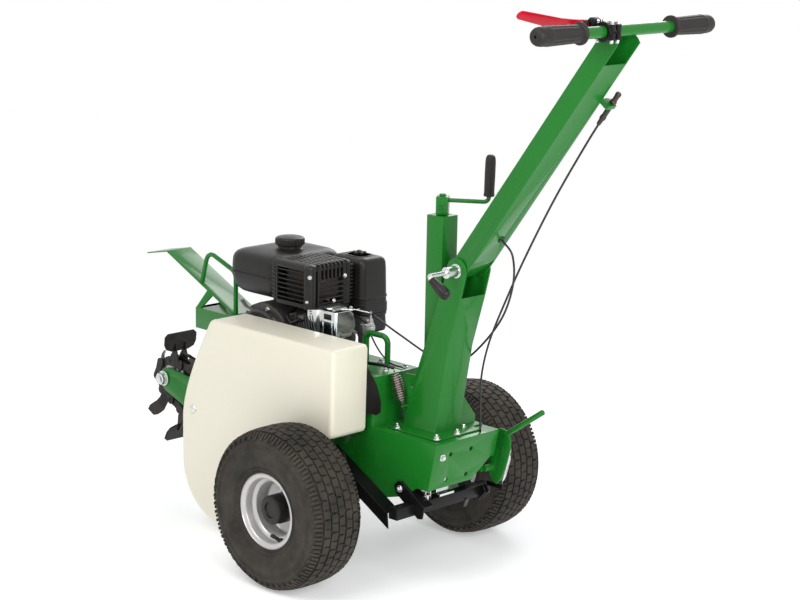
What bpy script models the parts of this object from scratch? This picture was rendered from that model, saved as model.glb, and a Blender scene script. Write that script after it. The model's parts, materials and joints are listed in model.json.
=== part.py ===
"""Walk-behind chain trencher with a small petrol engine, built as separate named pieces.

Metres, +Z up, +X to the operator's left, +Y to the rear where the handlebar is.
Machine coordinates start on the ground midway between the wheels, under their axle.
One empty, machine, carries every piece and stands AXLE_Y behind the middle of the length.
"""
import math

import bmesh
import bpy
from mathutils import Matrix, Vector

# General
AXLE_Y = 0.08846
GAP = 0.0003
RUN_GAP = 0.0004
LIFT = 0.001

# Wheels
WHEEL_RADIUS = 0.1905
TYRE_WIDTH = 0.152
TYRE_TO_GUARD = 0.0047
TREAD_HEIGHT = 0.006
TYRE_WALL = 0.008
RIM_LIP_RADIUS = 0.0895
RIM_SEAT_RADIUS = 0.0785
RIM_HALF_WIDTH = 0.0627
RIM_SHEET = 0.003
STUB_RADIUS = 0.0125
HUB_RADIUS = 0.034
HUB_END = 0.050

# Chassis
CHASSIS_HALF_WIDTH = 0.105
SHEET = 0.005
DECK_Z = 0.357
REAR_Y = 0.282
REAR_LOW_Y = 0.258
REAR_LOW_Z = 0.243
DECK_FRONT_Y = -0.470
NOSE_PLATE_Y = -0.530
RAIL_HEIGHT = 0.035
RAIL_INNER_X = 0.068
RAIL_OUTER_X = 0.100
CHAIN_SLOT_REAR_Y = -0.180

# Bridge behind the engine that carries the jackshaft
BRIDGE_TOP_Z = 0.475
BRIDGE_FRONT_Y = -0.105
BRIDGE_REAR_Y = 0.074
BRIDGE_RIGHT_X = -0.047

# Shafts, as (y, z)
ENGINE_AXIS = (-0.335, 0.492)
JACKSHAFT_AXIS = (-0.075, 0.455)
DRIVE_AXIS = (-0.340, 0.185)
ENGINE_PULLEY_RADIUS = 0.040
JACK_BIG_RADIUS = 0.086
JACK_SMALL_RADIUS = 0.0507
DRIVEN_RADIUS = 0.085
BELT_HEIGHT = 0.009
BELT_WIDTH = 0.013
INPUT_BELT_X = 0.188
FINAL_BELT_X = 0.152
SHAFT_RADIUS = 0.0125
JACKSHAFT_RADIUS = 0.010
IDLER_PIVOT = (-0.165, 0.335)
IDLER_CENTRE = (-0.215, 0.4500)
IDLER_RADIUS = 0.025

# Belt guard
GUARD_INNER_X = 0.117
GUARD_OUTER_X = 0.225
HALF_TRACK = GUARD_OUTER_X + TYRE_TO_GUARD + TYRE_WIDTH / 2
GUARD_WALL = 0.003
GUARD_TOP_Z = 0.554
GUARD_REAR_Y = 0.067
GUARD_LOBE = (-0.330, 0.188)
GUARD_LOBE_RADIUS = 0.146
GUARD_KNEE = (-0.150, 0.275)
BACKPLATE_SHEET = 0.003

# Digging boom and chain
BOOM_LENGTH = 0.462
BOOM_ANGLE = math.radians(13.3)
CHAIN_LINKS = 34
SPROCKET_TEETH = 16
NOSE_STEPS = 7
CHAIN_SAG = 0.020
LINK_HALF_HEIGHT = 0.013
PIN_RADIUS = 0.0055
INNER_LINK_X = (0.0090, 0.0132)
OUTER_LINK_X = (0.0125, 0.0174)
CUTTER_FOOT = 0.028
CUTTER_TIP = 0.080
CUTTER_HALF_WIDTH = 0.053
BOOM_PLATE_X = (0.0200, 0.0260)

# Spoil deflector and front bracket
DEFLECTOR_HALF_WIDTH = 0.040
DEFLECTOR_SHEET = 0.003
DEFLECTOR_LOW = (-0.492, 0.5145)
DEFLECTOR_FOLD = (-0.760, 0.640)
DEFLECTOR_LIP = (-0.842, 0.624)
BRACKET_TOP_Z = 0.511
BRACKET_LOW_Z = 0.457
BRACKET_FRONT_Y = -0.644

# Handle column, jack and wheel carriage
COLUMN_HALF_WIDTH = 0.042
COLUMN_WALL = 0.004
HANDLE_PIVOT = (0.270, 0.750)
JACK_Y = 0.184
JACK_HALF = 0.025
JACK_WALL = 0.003
JACK_TOP_Z = 0.862
JACK_LOW_Z = 0.262
LEG_HALF = 0.0205
LEG_TOP_Z = 0.700
JACK_FOOT_Z = 0.2043
CRANK_RADIUS = 0.105
CRANK_HEADING = math.radians(35.0)
CRANK_Z = 0.896
CRANK_GRIP_LENGTH = 0.095
CARRIAGE_PIVOT = (-0.110, 0.255)
PIVOT_RADIUS = 0.015
CROSS_TUBE = (0.205, 0.190)
CROSS_HALF = 0.014
ARM_X = (0.150, 0.154)

# Handle arm and bar
ARM_HALF_WIDTH = 0.0376
ARM_DEPTH = 0.047
ARM_WALL = 0.003
BAR_AXIS = (0.693, 1.318)
BAR_RADIUS = 0.0125
BAR_HALF_LENGTH = 0.270
GRIP_RADIUS = 0.020
GRIP_LENGTH = 0.140
CLAMP_X = (0.086, 0.104)
LEVER_PIVOT = (0.095, 0.655, 1.324)
LEVER_LENGTH = 0.187
LEVER_AXIS = (0.617, 0.787)

# Engine
ENGINE_BASE_Z = DECK_Z + RAIL_HEIGHT + GAP
CYLINDER_TILT = math.radians(15.0)
FIN_COUNT = 7
FIN_PITCH = 0.0125
FIN_SHEET = 0.003

# Springs
WIRE_RADIUS = 0.0012
CLUTCH_WIRE_RADIUS = 0.0016
CLUTCH_SPRING_RADIUS = 0.0115
CLUTCH_SPRING_TURNS = 9
LOCK_SPRING_RADIUS = 0.0042
LOCK_SPRING_TURNS = 11
CURL_POINTS = 8
SPRING_STUD = (0.1245, 0.408)
LOCK_HOOK = (0.287, 0.300)
LOCK_ANCHOR = (0.262, 0.2075)

# Cables
CABLE_RADIUS = 0.0025
THROTTLE_HOLE = 0.115
CABLE_LUG = 0.530
CABLE_DROP = 0.0165
CABLE_X = -0.052

UNIT_X = Vector((1.0, 0.0, 0.0))


def clear_scene():
    for old in list(bpy.data.objects):
        bpy.data.objects.remove(old, do_unlink=True)


def make_material(name, colour, roughness, metallic=0.0):
    mat = bpy.data.materials.new(name)
    mat.use_nodes = True
    shader = mat.node_tree.nodes["Principled BSDF"]
    shader.inputs["Base Color"].default_value = (*colour, 1.0)
    shader.inputs["Roughness"].default_value = roughness
    shader.inputs["Metallic"].default_value = metallic
    mat.diffuse_color = (*colour, 1.0)
    return mat


clear_scene()
GREEN = make_material("green_paint", (0.02, 0.24, 0.04), 0.30)
BLACK_PAINT = make_material("black_paint", (0.015, 0.015, 0.016), 0.40)
CREAM = make_material("cream_paint", (0.80, 0.74, 0.58), 0.35)
RUBBER = make_material("tyre_rubber", (0.03, 0.027, 0.025), 0.80)
SILVER = make_material("silver_paint", (0.62, 0.61, 0.59), 0.35, 0.8)
BLACK_PLASTIC = make_material("black_plastic", (0.02, 0.02, 0.02), 0.45)
RED_PAINT = make_material("red_paint", (0.55, 0.02, 0.03), 0.35)
ZINC = make_material("zinc_plate", (0.70, 0.72, 0.75), 0.30, 1.0)
CAST = make_material("cast_aluminium", (0.50, 0.50, 0.49), 0.50, 0.9)
STEEL = make_material("steel", (0.45, 0.45, 0.46), 0.35, 1.0)
CHAIN_STEEL = make_material("chain_steel", (0.03, 0.03, 0.03), 0.50, 0.5)
BELT_RUBBER = make_material("belt_rubber", (0.02, 0.02, 0.02), 0.70)
CABLE_BLACK = make_material("cable_black", (0.01, 0.01, 0.01), 0.50)

machine = bpy.data.objects.new("machine", None)
machine.location = (0.0, AXLE_Y, 0.0)
bpy.context.scene.collection.objects.link(machine)


def outward(mesh, faces):
    bmesh.ops.recalc_face_normals(mesh, faces=faces)


def add_box(mesh, x_range, y_range, z_range):
    size = [b - a for a, b in (x_range, y_range, z_range)]
    middle = [(a + b) / 2 for a, b in (x_range, y_range, z_range)]
    place = Matrix.Translation(middle) @ Matrix.Diagonal((*size, 1.0))
    bmesh.ops.create_cube(mesh, size=1.0, matrix=place)


def add_prism(mesh, outline, low, high, axis="X"):
    """Extrude a closed outline along an axis; the outline holds the other two coordinates."""
    def point(a, b, along):
        return {"X": (along, a, b), "Y": (a, along, b), "Z": (a, b, along)}[axis]
    verts = [mesh.verts.new(point(a, b, low)) for a, b in outline]
    face = mesh.faces.new(verts)
    grown = bmesh.ops.extrude_face_region(mesh, geom=[face])["geom"]
    moved = [g for g in grown if isinstance(g, bmesh.types.BMVert)]
    step = Vector(point(0.0, 0.0, high)) - Vector(point(0.0, 0.0, low))
    bmesh.ops.translate(mesh, verts=moved, vec=step)
    faces = {f for v in verts + moved for f in v.link_faces}
    outward(mesh, list(faces))


def turn_to(direction):
    return UNIT_X.rotation_difference(Vector(direction)).to_matrix()


def add_lathe(mesh, profile, steps, centre=(0.0, 0.0, 0.0), direction=(1.0, 0.0, 0.0)):
    """Spin a closed profile of (along, radius) points about a line through centre."""
    before = set(mesh.verts)
    verts = [mesh.verts.new((along, radius, 0.0)) for along, radius in profile]
    edges = [mesh.edges.new((verts[i - 1], verts[i])) for i in range(len(verts))]
    bmesh.ops.spin(mesh, geom=verts + edges, cent=(0, 0, 0), axis=(1, 0, 0),
                   angle=2 * math.pi, steps=steps, use_merge=True)
    made = [v for v in mesh.verts if v not in before]
    bmesh.ops.remove_doubles(mesh, verts=made, dist=1e-6)
    made = [v for v in mesh.verts if v not in before]
    faces = list({f for v in made for f in v.link_faces})
    outward(mesh, faces)
    place = Matrix.Translation(centre) @ turn_to(direction).to_4x4()
    bmesh.ops.transform(mesh, matrix=place, verts=made)


def add_disc(mesh, start, end, radius, steps=12, bore=0.0):
    """A round bar or ring from start to end."""
    start = Vector(start)
    length = (Vector(end) - start).length
    profile = [(0.0, bore), (0.0, radius), (length, radius), (length, bore)]
    if bore > 0.0:
        add_lathe(mesh, profile, steps, start, Vector(end) - start)
        return
    before = set(mesh.verts)
    bmesh.ops.create_cone(mesh, cap_ends=True, segments=steps, radius1=radius, radius2=radius,
                          depth=length)
    made = [v for v in mesh.verts if v not in before]
    turn = Vector((0, 0, 1)).rotation_difference(Vector(end) - start).to_matrix().to_4x4()
    place = Matrix.Translation((start + Vector(end)) / 2) @ turn
    bmesh.ops.transform(mesh, matrix=place, verts=made)


def add_rod(mesh, points, radius, bevel_resolution=2):
    """A bent round rod through a list of points, from a bevelled curve with filled caps."""
    curve = bpy.data.curves.new("rod_path", "CURVE")
    curve.dimensions = "3D"
    curve.bevel_depth = radius
    curve.bevel_resolution = bevel_resolution
    curve.use_fill_caps = True
    spline = curve.splines.new("POLY")
    spline.points.add(len(points) - 1)
    for slot, point in zip(spline.points, points):
        slot.co = (*point, 1.0)
    holder = bpy.data.objects.new("rod_path", curve)
    swept = bpy.data.meshes.new_from_object(holder)
    before = set(mesh.verts)
    mesh.from_mesh(swept)
    made = [v for v in mesh.verts if v not in before]
    bmesh.ops.remove_doubles(mesh, verts=made, dist=1e-6)
    made = [v for v in mesh.verts if v not in before]
    outward(mesh, list({f for v in made for f in v.link_faces}))
    bpy.data.objects.remove(holder)
    bpy.data.meshes.remove(swept)


def rounded_path(corners, radius, steps=4):
    """The corners of a bent rod with each inner corner turned into an arc."""
    corners = [Vector(c) for c in corners]
    path = [corners[0]]
    for before, corner, after in zip(corners, corners[1:], corners[2:]):
        inward = (before - corner).normalized()
        onward = (after - corner).normalized()
        half = inward.angle(onward) / 2
        reach = radius / math.tan(half)
        middle = corner + (inward + onward).normalized() * (radius / math.sin(half))
        first = corner + inward * reach - middle
        last = corner + onward * reach - middle
        sweep = first.angle(last)
        for k in range(steps + 1):
            t = k / steps
            blend = first * math.sin((1 - t) * sweep) + last * math.sin(t * sweep)
            path.append(middle + blend / math.sin(sweep))
    path.append(corners[-1])
    return path


def arc(centre, radius, start_deg, end_deg, steps):
    """Points of an arc in a plane, both ends included."""
    points = []
    for k in range(steps + 1):
        angle = math.radians(start_deg + (end_deg - start_deg) * k / steps)
        points.append((centre[0] + radius * math.cos(angle), centre[1] + radius * math.sin(angle)))
    return points


def link_object(name, mesh, mat, pivot):
    data = bpy.data.meshes.new(name)
    bmesh.ops.translate(mesh, verts=mesh.verts, vec=-Vector(pivot))
    mesh.to_mesh(data)
    mesh.free()
    obj = bpy.data.objects.new(name, data)
    bpy.context.scene.collection.objects.link(obj)
    obj.parent = machine
    obj.location = pivot
    data.materials.append(mat)
    return obj


def hide_tool(obj):
    obj.hide_render = True
    obj.display_type = "WIRE"


def add_boolean(obj, tool, operation):
    modifier = obj.modifiers.new(operation.lower(), "BOOLEAN")
    modifier.operation = operation
    modifier.object = tool
    modifier.solver = "EXACT"
    modifier.use_self = True


def bore_for(radius, steps=12):
    """Radius of a many-sided hole in which a round shaft of as many sides can turn."""
    return radius / math.cos(math.pi / steps) + RUN_GAP


def part(name, mat, mesh, joins=None, cuts=None, pivot=(0.0, 0.0, 0.0), bevel=0.0, smooth=True):
    """One sub-part: a first mesh, meshes united with it and meshes cut from it."""
    obj = link_object(name, mesh, mat, pivot)
    if smooth:
        obj.data.shade_smooth()
        obj.data.set_sharp_from_angle(angle=math.radians(35))
    if bevel > 0.0:
        rounding = obj.modifiers.new("edge_rounding", "BEVEL")
        rounding.width = bevel
        rounding.segments = 1
        rounding.limit_method = "ANGLE"
        rounding.angle_limit = math.radians(50)
    if joins is not None:
        tool = link_object(name + "_join", joins, mat, pivot)
        hide_tool(tool)
        add_boolean(obj, tool, "UNION")
    if cuts is not None:
        tool = link_object(name + "_cut", cuts, mat, pivot)
        hide_tool(tool)
        add_boolean(obj, tool, "DIFFERENCE")
    return obj


def at(axis, x):
    """A point on a cross shaft given as (y, z)."""
    return (x, axis[0], axis[1])


# Wheels
def make_tyre(name, side):
    outer_half = TYRE_WIDTH / 2
    crown = WHEEL_RADIUS - TREAD_HEIGHT
    bead = RIM_SEAT_RADIUS + 0.0008
    profile = [(-0.0545, bead), (-0.0595, 0.0935), (-outer_half + 0.003, 0.115),
               (-outer_half + 0.001, 0.155), (-0.064, 0.1745), (-0.041, crown - 0.002),
               (-0.0137, crown), (0.0137, crown), (0.041, crown - 0.002), (0.064, 0.1745),
               (outer_half - 0.001, 0.155), (outer_half - 0.003, 0.115), (0.0595, 0.0935),
               (0.0545, bead), (0.046, bead),
               (outer_half - TYRE_WALL - 0.002, 0.124), (0.054, crown - TYRE_WALL - 0.010),
               (-0.054, crown - TYRE_WALL - 0.010), (-outer_half + TYRE_WALL + 0.002, 0.124),
               (-0.046, bead)]
    steps = 28
    mesh = bmesh.new()
    add_lathe(mesh, profile, steps)
    groups = {}
    for face in mesh.faces:
        middle = face.calc_center_median()
        radius = math.hypot(middle.y, middle.z)
        if radius < 0.165 or face.normal.dot(Vector((0, middle.y, middle.z))) < 0:
            continue
        sector = int(round((math.atan2(middle.z, middle.y) / (2 * math.pi) * steps) - 0.5)) % steps
        row = int(round(middle.x / 0.026))
        if (sector + row) % 2 == 0:
            groups.setdefault(row, []).append(face)
    lugs = [face for row in groups.values() for face in row]
    bmesh.ops.inset_individual(mesh, faces=lugs, thickness=0.0015, depth=TREAD_HEIGHT)
    centre = Vector((side * HALF_TRACK, 0.0, WHEEL_RADIUS))
    bmesh.ops.translate(mesh, verts=mesh.verts, vec=centre)
    part(name, RUBBER, mesh, pivot=centre)


def make_rim(name, side):
    lip = RIM_HALF_WIDTH
    seat = RIM_SEAT_RADIUS
    drop = 0.067
    sheet = RIM_SHEET
    bore = HUB_RADIUS - 0.010 + GAP
    profile = [(lip, RIM_LIP_RADIUS), (lip - 0.0037, RIM_LIP_RADIUS), (0.0565, seat),
               (0.038, seat - 0.002), (0.033, drop), (-0.033, drop), (-0.038, seat - 0.002),
               (-0.0565, seat), (-lip + 0.0037, RIM_LIP_RADIUS), (-lip, RIM_LIP_RADIUS),
               (-0.0600, seat - sheet), (-0.036, drop - sheet), (-0.004, drop - sheet),
               (-0.012, 0.048), (-0.012, bore), (-0.008, bore), (-0.008, 0.046),
               (0.001, drop - sheet), (0.036, drop - sheet), (0.0600, seat - sheet)]
    profile = [(side * x, r) for x, r in profile]
    centre = Vector((side * HALF_TRACK, 0.0, WHEEL_RADIUS))
    mesh = bmesh.new()
    add_lathe(mesh, profile, 20, centre)
    part(name, SILVER, mesh, pivot=centre)


def make_hub(name, side):
    neck = HUB_RADIUS - 0.010
    bore = STUB_RADIUS + RUN_GAP
    profile = [(-0.046, bore), (-0.046, neck), (-0.008 + GAP, neck), (-0.008 + GAP, HUB_RADIUS),
               (HUB_END - 0.004, HUB_RADIUS), (HUB_END, HUB_RADIUS - 0.004), (HUB_END, 0.0005),
               (HUB_END - 0.006, 0.0005), (HUB_END - 0.006, bore)]
    profile = [(side * x, r) for x, r in profile]
    centre = Vector((side * HALF_TRACK, 0.0, WHEEL_RADIUS))
    mesh = bmesh.new()
    add_lathe(mesh, profile, 14, centre)
    notch = bmesh.new()
    end = side * (HALF_TRACK + HUB_END)
    inner = side * (HALF_TRACK + HUB_END - 0.010)
    low, high = sorted((inner, end + side * 0.005))
    for turn in (1, -1):
        add_box(notch, (low, high), sorted((turn * 0.020, turn * 0.040)),
                (WHEEL_RADIUS - 0.009, WHEEL_RADIUS + 0.009))
    part(name, BLACK_PLASTIC, mesh, cuts=notch, pivot=centre)


# Chassis
def make_chassis():
    outline = [(REAR_Y, DECK_Z), (REAR_LOW_Y, REAR_LOW_Z), (0.222, REAR_LOW_Z), (0.185, 0.215),
               (-0.150, 0.120), (-0.290, 0.085), (-0.370, 0.090), (-0.425, 0.140),
               (NOSE_PLATE_Y, 0.180), (NOSE_PLATE_Y, 0.262), (DECK_FRONT_Y, 0.300),
               (DECK_FRONT_Y, DECK_Z)]
    lean = (REAR_Y - REAR_LOW_Y) / (DECK_Z - REAR_LOW_Z)
    inner_low = 0.05
    inner = [(REAR_Y - SHEET - lean * SHEET, DECK_Z - SHEET),
             (REAR_Y - SHEET - lean * (DECK_Z - inner_low), inner_low),
             (-0.60, inner_low), (-0.60, DECK_Z - SHEET)]
    half = CHASSIS_HALF_WIDTH
    mesh = bmesh.new()
    add_prism(mesh, outline, -half, half)
    joins = bmesh.new()
    for side in (1, -1):
        x_low, x_high = sorted((side * RAIL_INNER_X, side * RAIL_OUTER_X))
        add_box(joins, (x_low, x_high), (-0.425, -0.215), (DECK_Z - 0.002, DECK_Z + RAIL_HEIGHT))
    add_box(joins, (BRIDGE_RIGHT_X, half), (BRIDGE_FRONT_Y, BRIDGE_REAR_Y),
            (DECK_Z - 0.002, BRIDGE_TOP_Z))
    cuts = bmesh.new()
    add_prism(cuts, inner, -half + SHEET, half - SHEET)
    add_box(cuts, (BRIDGE_RIGHT_X + SHEET, half - SHEET),
            (BRIDGE_FRONT_Y + SHEET, BRIDGE_REAR_Y - SHEET), (DECK_Z - 0.020, BRIDGE_TOP_Z - SHEET))
    add_box(cuts, (-RAIL_INNER_X + 0.003, RAIL_INNER_X - 0.003),
            (DECK_FRONT_Y - 0.05, CHAIN_SLOT_REAR_Y), (DECK_Z - 0.020, DECK_Z + 0.020))
    opening = JACK_HALF + GAP
    add_box(cuts, (-opening, opening), (JACK_Y - opening, JACK_Y + opening),
            (DECK_Z - 0.020, DECK_Z + 0.020))
    add_disc(cuts, at(CARRIAGE_PIVOT, -0.13), at(CARRIAGE_PIVOT, 0.13), bore_for(PIVOT_RADIUS), 12)
    add_disc(cuts, at(DRIVE_AXIS, -0.13), at(DRIVE_AXIS, 0.13), SHAFT_RADIUS + 0.004, 12)
    add_disc(cuts, at(JACKSHAFT_AXIS, -0.13), at(JACKSHAFT_AXIS, 0.13),
             JACKSHAFT_RADIUS + RUN_GAP, 12)
    add_disc(cuts, at(IDLER_PIVOT, 0.09), at(IDLER_PIVOT, 0.13), 0.008 + RUN_GAP, 12)
    for x, z in ((0.050, 0.325), (-0.018, 0.326), (0.050, 0.262), (-0.017, 0.262)):
        add_disc(cuts, (x, 0.20, z), (x, 0.32, z), 0.006, 8)
    corner = [(-0.040, 0.20), (-0.040, REAR_LOW_Z + 0.001), (-0.092, 0.290), (-0.14, 0.290),
              (-0.14, 0.20)]
    add_prism(cuts, corner, 0.235, 0.32, "Y")
    part("chassis_frame", GREEN, mesh, joins, cuts, smooth=False)


def make_front_bracket():
    mesh = bmesh.new()
    add_box(mesh, (-DEFLECTOR_HALF_WIDTH, DEFLECTOR_HALF_WIDTH), (BRACKET_FRONT_Y, -0.4301),
            (BRACKET_LOW_Z, BRACKET_TOP_Z))
    joins = bmesh.new()
    add_box(joins, (-0.098, 0.098), (-0.466, -0.430), (BRACKET_LOW_Z, BRACKET_TOP_Z))
    strut = [(-0.6435, BRACKET_TOP_Z - 0.002), (-0.626, BRACKET_TOP_Z - 0.002)]
    slope = (DEFLECTOR_FOLD[1] - DEFLECTOR_LOW[1]) / (DEFLECTOR_FOLD[0] - DEFLECTOR_LOW[0])
    for y in (-0.579, -0.599):
        under = DEFLECTOR_LOW[1] + slope * (y - DEFLECTOR_LOW[0])
        under -= DEFLECTOR_SHEET * math.hypot(1.0, slope) + GAP
        strut.append((y, under))
    for side in (1, -1):
        low, high = sorted((side * 0.068, side * 0.098))
        add_box(joins, (low, high), (-0.466, -0.430), (DECK_Z + GAP, BRACKET_LOW_Z + 0.002))
        low, high = sorted((side * 0.034, side * 0.0399))
        add_prism(joins, strut, low, high)
    cuts = bmesh.new()
    wall = 0.004
    half = DEFLECTOR_HALF_WIDTH - wall
    add_box(cuts, (-half, half), (BRACKET_FRONT_Y - 0.01, -0.50),
            (BRACKET_LOW_Z + wall, BRACKET_TOP_Z - wall))
    part("front_bracket", GREEN, mesh, joins, cuts, smooth=False)


def sheet_outline(points, thickness):
    """A folded sheet seen end on: the points and the same points offset below them."""
    lower = []
    for i, point in enumerate(points):
        before = Vector(points[max(i - 1, 0)])
        after = Vector(points[min(i + 1, len(points) - 1)])
        along = (after - before).normalized()
        lower.append(tuple(Vector(point) + Vector((along.y, -along.x)) * thickness))
    return list(points) + lower[::-1]


def make_deflector():
    mesh = bmesh.new()
    half = DEFLECTOR_HALF_WIDTH
    top = [DEFLECTOR_LIP, DEFLECTOR_FOLD, DEFLECTOR_LOW]
    add_prism(mesh, sheet_outline(top, DEFLECTOR_SHEET), -half, half)
    joins = bmesh.new()
    x = half - 0.010
    bow = [(x, -0.6295, 0.5775), (x, -0.6054, 0.6615), (x, -0.4980, 0.6235), (x, -0.4980, 0.5162)]
    add_rod(joins, rounded_path(bow, 0.022, 3), 0.006)
    part("spoil_deflector", GREEN, mesh, joins)


# Digging boom and chain, worked out in the plane of the boom
def boom_point(along, above):
    """Machine (y, z) of a point given along and above the boom's centre line."""
    c, s = math.cos(BOOM_ANGLE), math.sin(BOOM_ANGLE)
    return (DRIVE_AXIS[0] - along * c + above * s, DRIVE_AXIS[1] + along * s + above * c)


def chain_path(pitch, fine=0.001):
    """Fine points of the chain's pitch line, as (along, above), and its two radii."""
    big = pitch * SPROCKET_TEETH / (2 * math.pi)
    small = pitch * NOSE_STEPS / (2 * math.pi)
    lean = math.asin((big - small) / BOOM_LENGTH)
    points = []
    top = math.pi / 2 - lean
    span = 2 * math.pi - 2 * top
    count = int(big * span / fine)
    for k in range(count):
        angle = -top - span + span * k / count
        angle = top + span * k / count
        points.append((big * math.cos(angle), big * math.sin(angle)))
    low_start = Vector((big * math.cos(top), -big * math.sin(top)))
    low_end = Vector((BOOM_LENGTH + small * math.cos(top), -small * math.sin(top)))
    run = low_end - low_start
    count = int(run.length / fine)
    for k in range(count):
        t = k / count
        spot = low_start + run * t
        points.append((spot.x, spot.y - 4 * CHAIN_SAG * t * (1 - t)))
    count = int(small * 2 * top / fine)
    for k in range(count):
        angle = -top + 2 * top * k / count
        points.append((BOOM_LENGTH + small * math.cos(angle), small * math.sin(angle)))
    high_start = Vector((low_end.x, -low_end.y))
    high_end = Vector((low_start.x, -low_start.y))
    count = int((high_end - high_start).length / fine)
    for k in range(count):
        spot = high_start.lerp(high_end, k / count)
        points.append((spot.x, spot.y))
    return [Vector(p) for p in points], big, small


def chain_pins():
    """Pin centres spaced evenly round the loop, with the pitch that fits the boom."""
    pitch = 0.0415
    for _ in range(30):
        points, big, small = chain_path(pitch)
        steps = [(points[i] - points[i - 1]).length for i in range(len(points))]
        pitch = sum(steps) / CHAIN_LINKS
    spots = []
    travelled = 0.0
    for i, point in enumerate(points):
        if i > 0:
            travelled += steps[i]
        while len(spots) < CHAIN_LINKS and travelled >= len(spots) * pitch - 1e-9:
            spots.append(point)
    return spots, pitch, big, small


def make_chain(pins):
    mesh = bmesh.new()
    joins = bmesh.new()

    def place(along, above):
        return boom_point(along, above)
    for index, pin in enumerate(pins):
        nxt = pins[(index + 1) % len(pins)]
        middle = (pin + nxt) / 2
        along = (nxt - pin).normalized()
        outer = Vector((along.y, -along.x))
        if outer.dot(middle - Vector((BOOM_LENGTH / 2, 0.0))) < 0 and abs(middle.y) > 0.02:
            outer = -outer
        half = (nxt - pin).length / 2 + 0.011
        high = LINK_HALF_HEIGHT
        shape = [(-half, 0.0), (-half + 0.009, -high), (half - 0.009, -high), (half, 0.0),
                 (half - 0.009, high), (-half + 0.009, high)]
        outline = [place(*(middle + along * a + outer * b)) for a, b in shape]
        is_outer = index % 2 == 0
        near, far = OUTER_LINK_X if is_outer else INNER_LINK_X
        for side in (1, -1):
            low, high = sorted((side * near, side * far))
            add_prism(joins, outline, low, high)
        reach = INNER_LINK_X[0] + 0.001
        spot = place(*pin)
        add_disc(mesh if index == 0 else joins, (-reach, *spot), (reach, *spot), PIN_RADIUS, 6)
        if is_outer:
            add_cutter(joins, middle, along, outer, index // 2)
    part("digging_chain", CHAIN_STEEL, mesh, joins, smooth=False)


def add_cutter(joins, middle, along, outer, number):
    """A wide plate on every third outer link, and bent side teeth on the rest."""
    def spot(x, a, b):
        y, z = boom_point(*(middle + along * a + outer * b))
        return (x, y, z)
    foot, tip, wide = CUTTER_FOOT, CUTTER_TIP, CUTTER_HALF_WIDTH
    if number % 3 == 0:
        face = [(-0.7 * wide, foot), (-wide, foot + 0.012), (-wide, tip - 0.014),
                (-0.74 * wide, tip), (0.74 * wide, tip), (wide, tip - 0.014),
                (wide, foot + 0.012), (0.7 * wide, foot)]
        add_slab(joins, [spot(x, -0.002, b) for x, b in face],
                 Vector(spot(0, 0.004, 0)) - Vector(spot(0, 0, 0)))
        for side in (1, -1):
            leg = [spot(side * 0.0136, a, b) for a, b in
                   ((-0.014, 0.010), (0.014, 0.010), (0.006, foot + 0.012), (-0.001, foot + 0.012))]
            add_slab(joins, leg, Vector((side * 0.0036, 0, 0)))
    else:
        side = 1 if number % 3 == 1 else -1
        leg = [spot(side * 0.0136, a, b) for a, b in
               ((-0.014, 0.010), (0.014, 0.010), (0.010, foot + 0.020), (-0.006, foot + 0.020))]
        add_slab(joins, leg, Vector((side * 0.0036, 0, 0)))
        blade = [spot(side * x, 0.0, b) for x, b in
                 ((0.0138, foot), (0.034, foot + 0.006), (wide - 0.004, foot + 0.026),
                  (wide - 0.002, tip - 0.004), (0.030, tip - 0.012), (0.0138, foot + 0.018))]
        add_slab(joins, blade, Vector(spot(0, 0.005, 0)) - Vector(spot(0, 0, 0)))


def add_slab(mesh, corners, step):
    """A flat plate from its corners and the step through its thickness."""
    verts = [mesh.verts.new(c) for c in corners]
    face = mesh.faces.new(verts)
    grown = bmesh.ops.extrude_face_region(mesh, geom=[face])["geom"]
    moved = [g for g in grown if isinstance(g, bmesh.types.BMVert)]
    bmesh.ops.translate(mesh, verts=moved, vec=step)
    outward(mesh, list({f for v in verts + moved for f in v.link_faces}))


def make_boom(big, small):
    inset = LINK_HALF_HEIGHT + 0.001
    start = big + 0.016
    lean = math.asin((big - small) / BOOM_LENGTH)
    rise = math.tan(lean)

    def half_height(along):
        return small + (BOOM_LENGTH - along) * rise - inset
    nose = [(BOOM_LENGTH - 0.010, inset - small), (BOOM_LENGTH + 0.0145, -0.020),
            (BOOM_LENGTH + 0.0145, 0.020), (BOOM_LENGTH - 0.005, small - inset)]
    plate = [(start, -half_height(start) + 0.012)] + nose
    plate += [(0.76 * BOOM_LENGTH, half_height(0.76 * BOOM_LENGTH)),
              (0.75 * BOOM_LENGTH, half_height(0.75 * BOOM_LENGTH) - 0.010),
              (0.71 * BOOM_LENGTH, half_height(0.71 * BOOM_LENGTH) - 0.010),
              (0.70 * BOOM_LENGTH, half_height(0.70 * BOOM_LENGTH))]
    plate += [(start, half_height(start) - 0.004)]
    outline = [boom_point(*p) for p in plate]
    mesh = bmesh.new()
    add_prism(mesh, outline, *BOOM_PLATE_X)
    joins = bmesh.new()
    add_prism(joins, outline, -BOOM_PLATE_X[1], -BOOM_PLATE_X[0])
    core_end = BOOM_LENGTH - small - 0.006
    core = [(start + 0.004, -0.030), (core_end, -0.020), (core_end, 0.020), (start + 0.004, 0.030)]
    add_prism(joins, [boom_point(*p) for p in core], -0.0205, 0.0205)
    tube = boom_point(0.154, 0.0)
    wall = CHASSIS_HALF_WIDTH - SHEET - GAP
    add_disc(joins, (-wall, *tube), (wall, *tube), 0.015, 12)
    nose_axis = boom_point(BOOM_LENGTH, 0.0)
    add_disc(joins, (-0.034, *nose_axis), (0.046, *nose_axis), 0.008, 10)
    for side in (1, -1):
        washer = sorted((side * 0.0255, side * 0.029))
        add_disc(joins, (washer[0], *nose_axis), (washer[1], *nose_axis), 0.019, 12)
    part("boom_bar", GREEN, mesh, joins)


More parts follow.
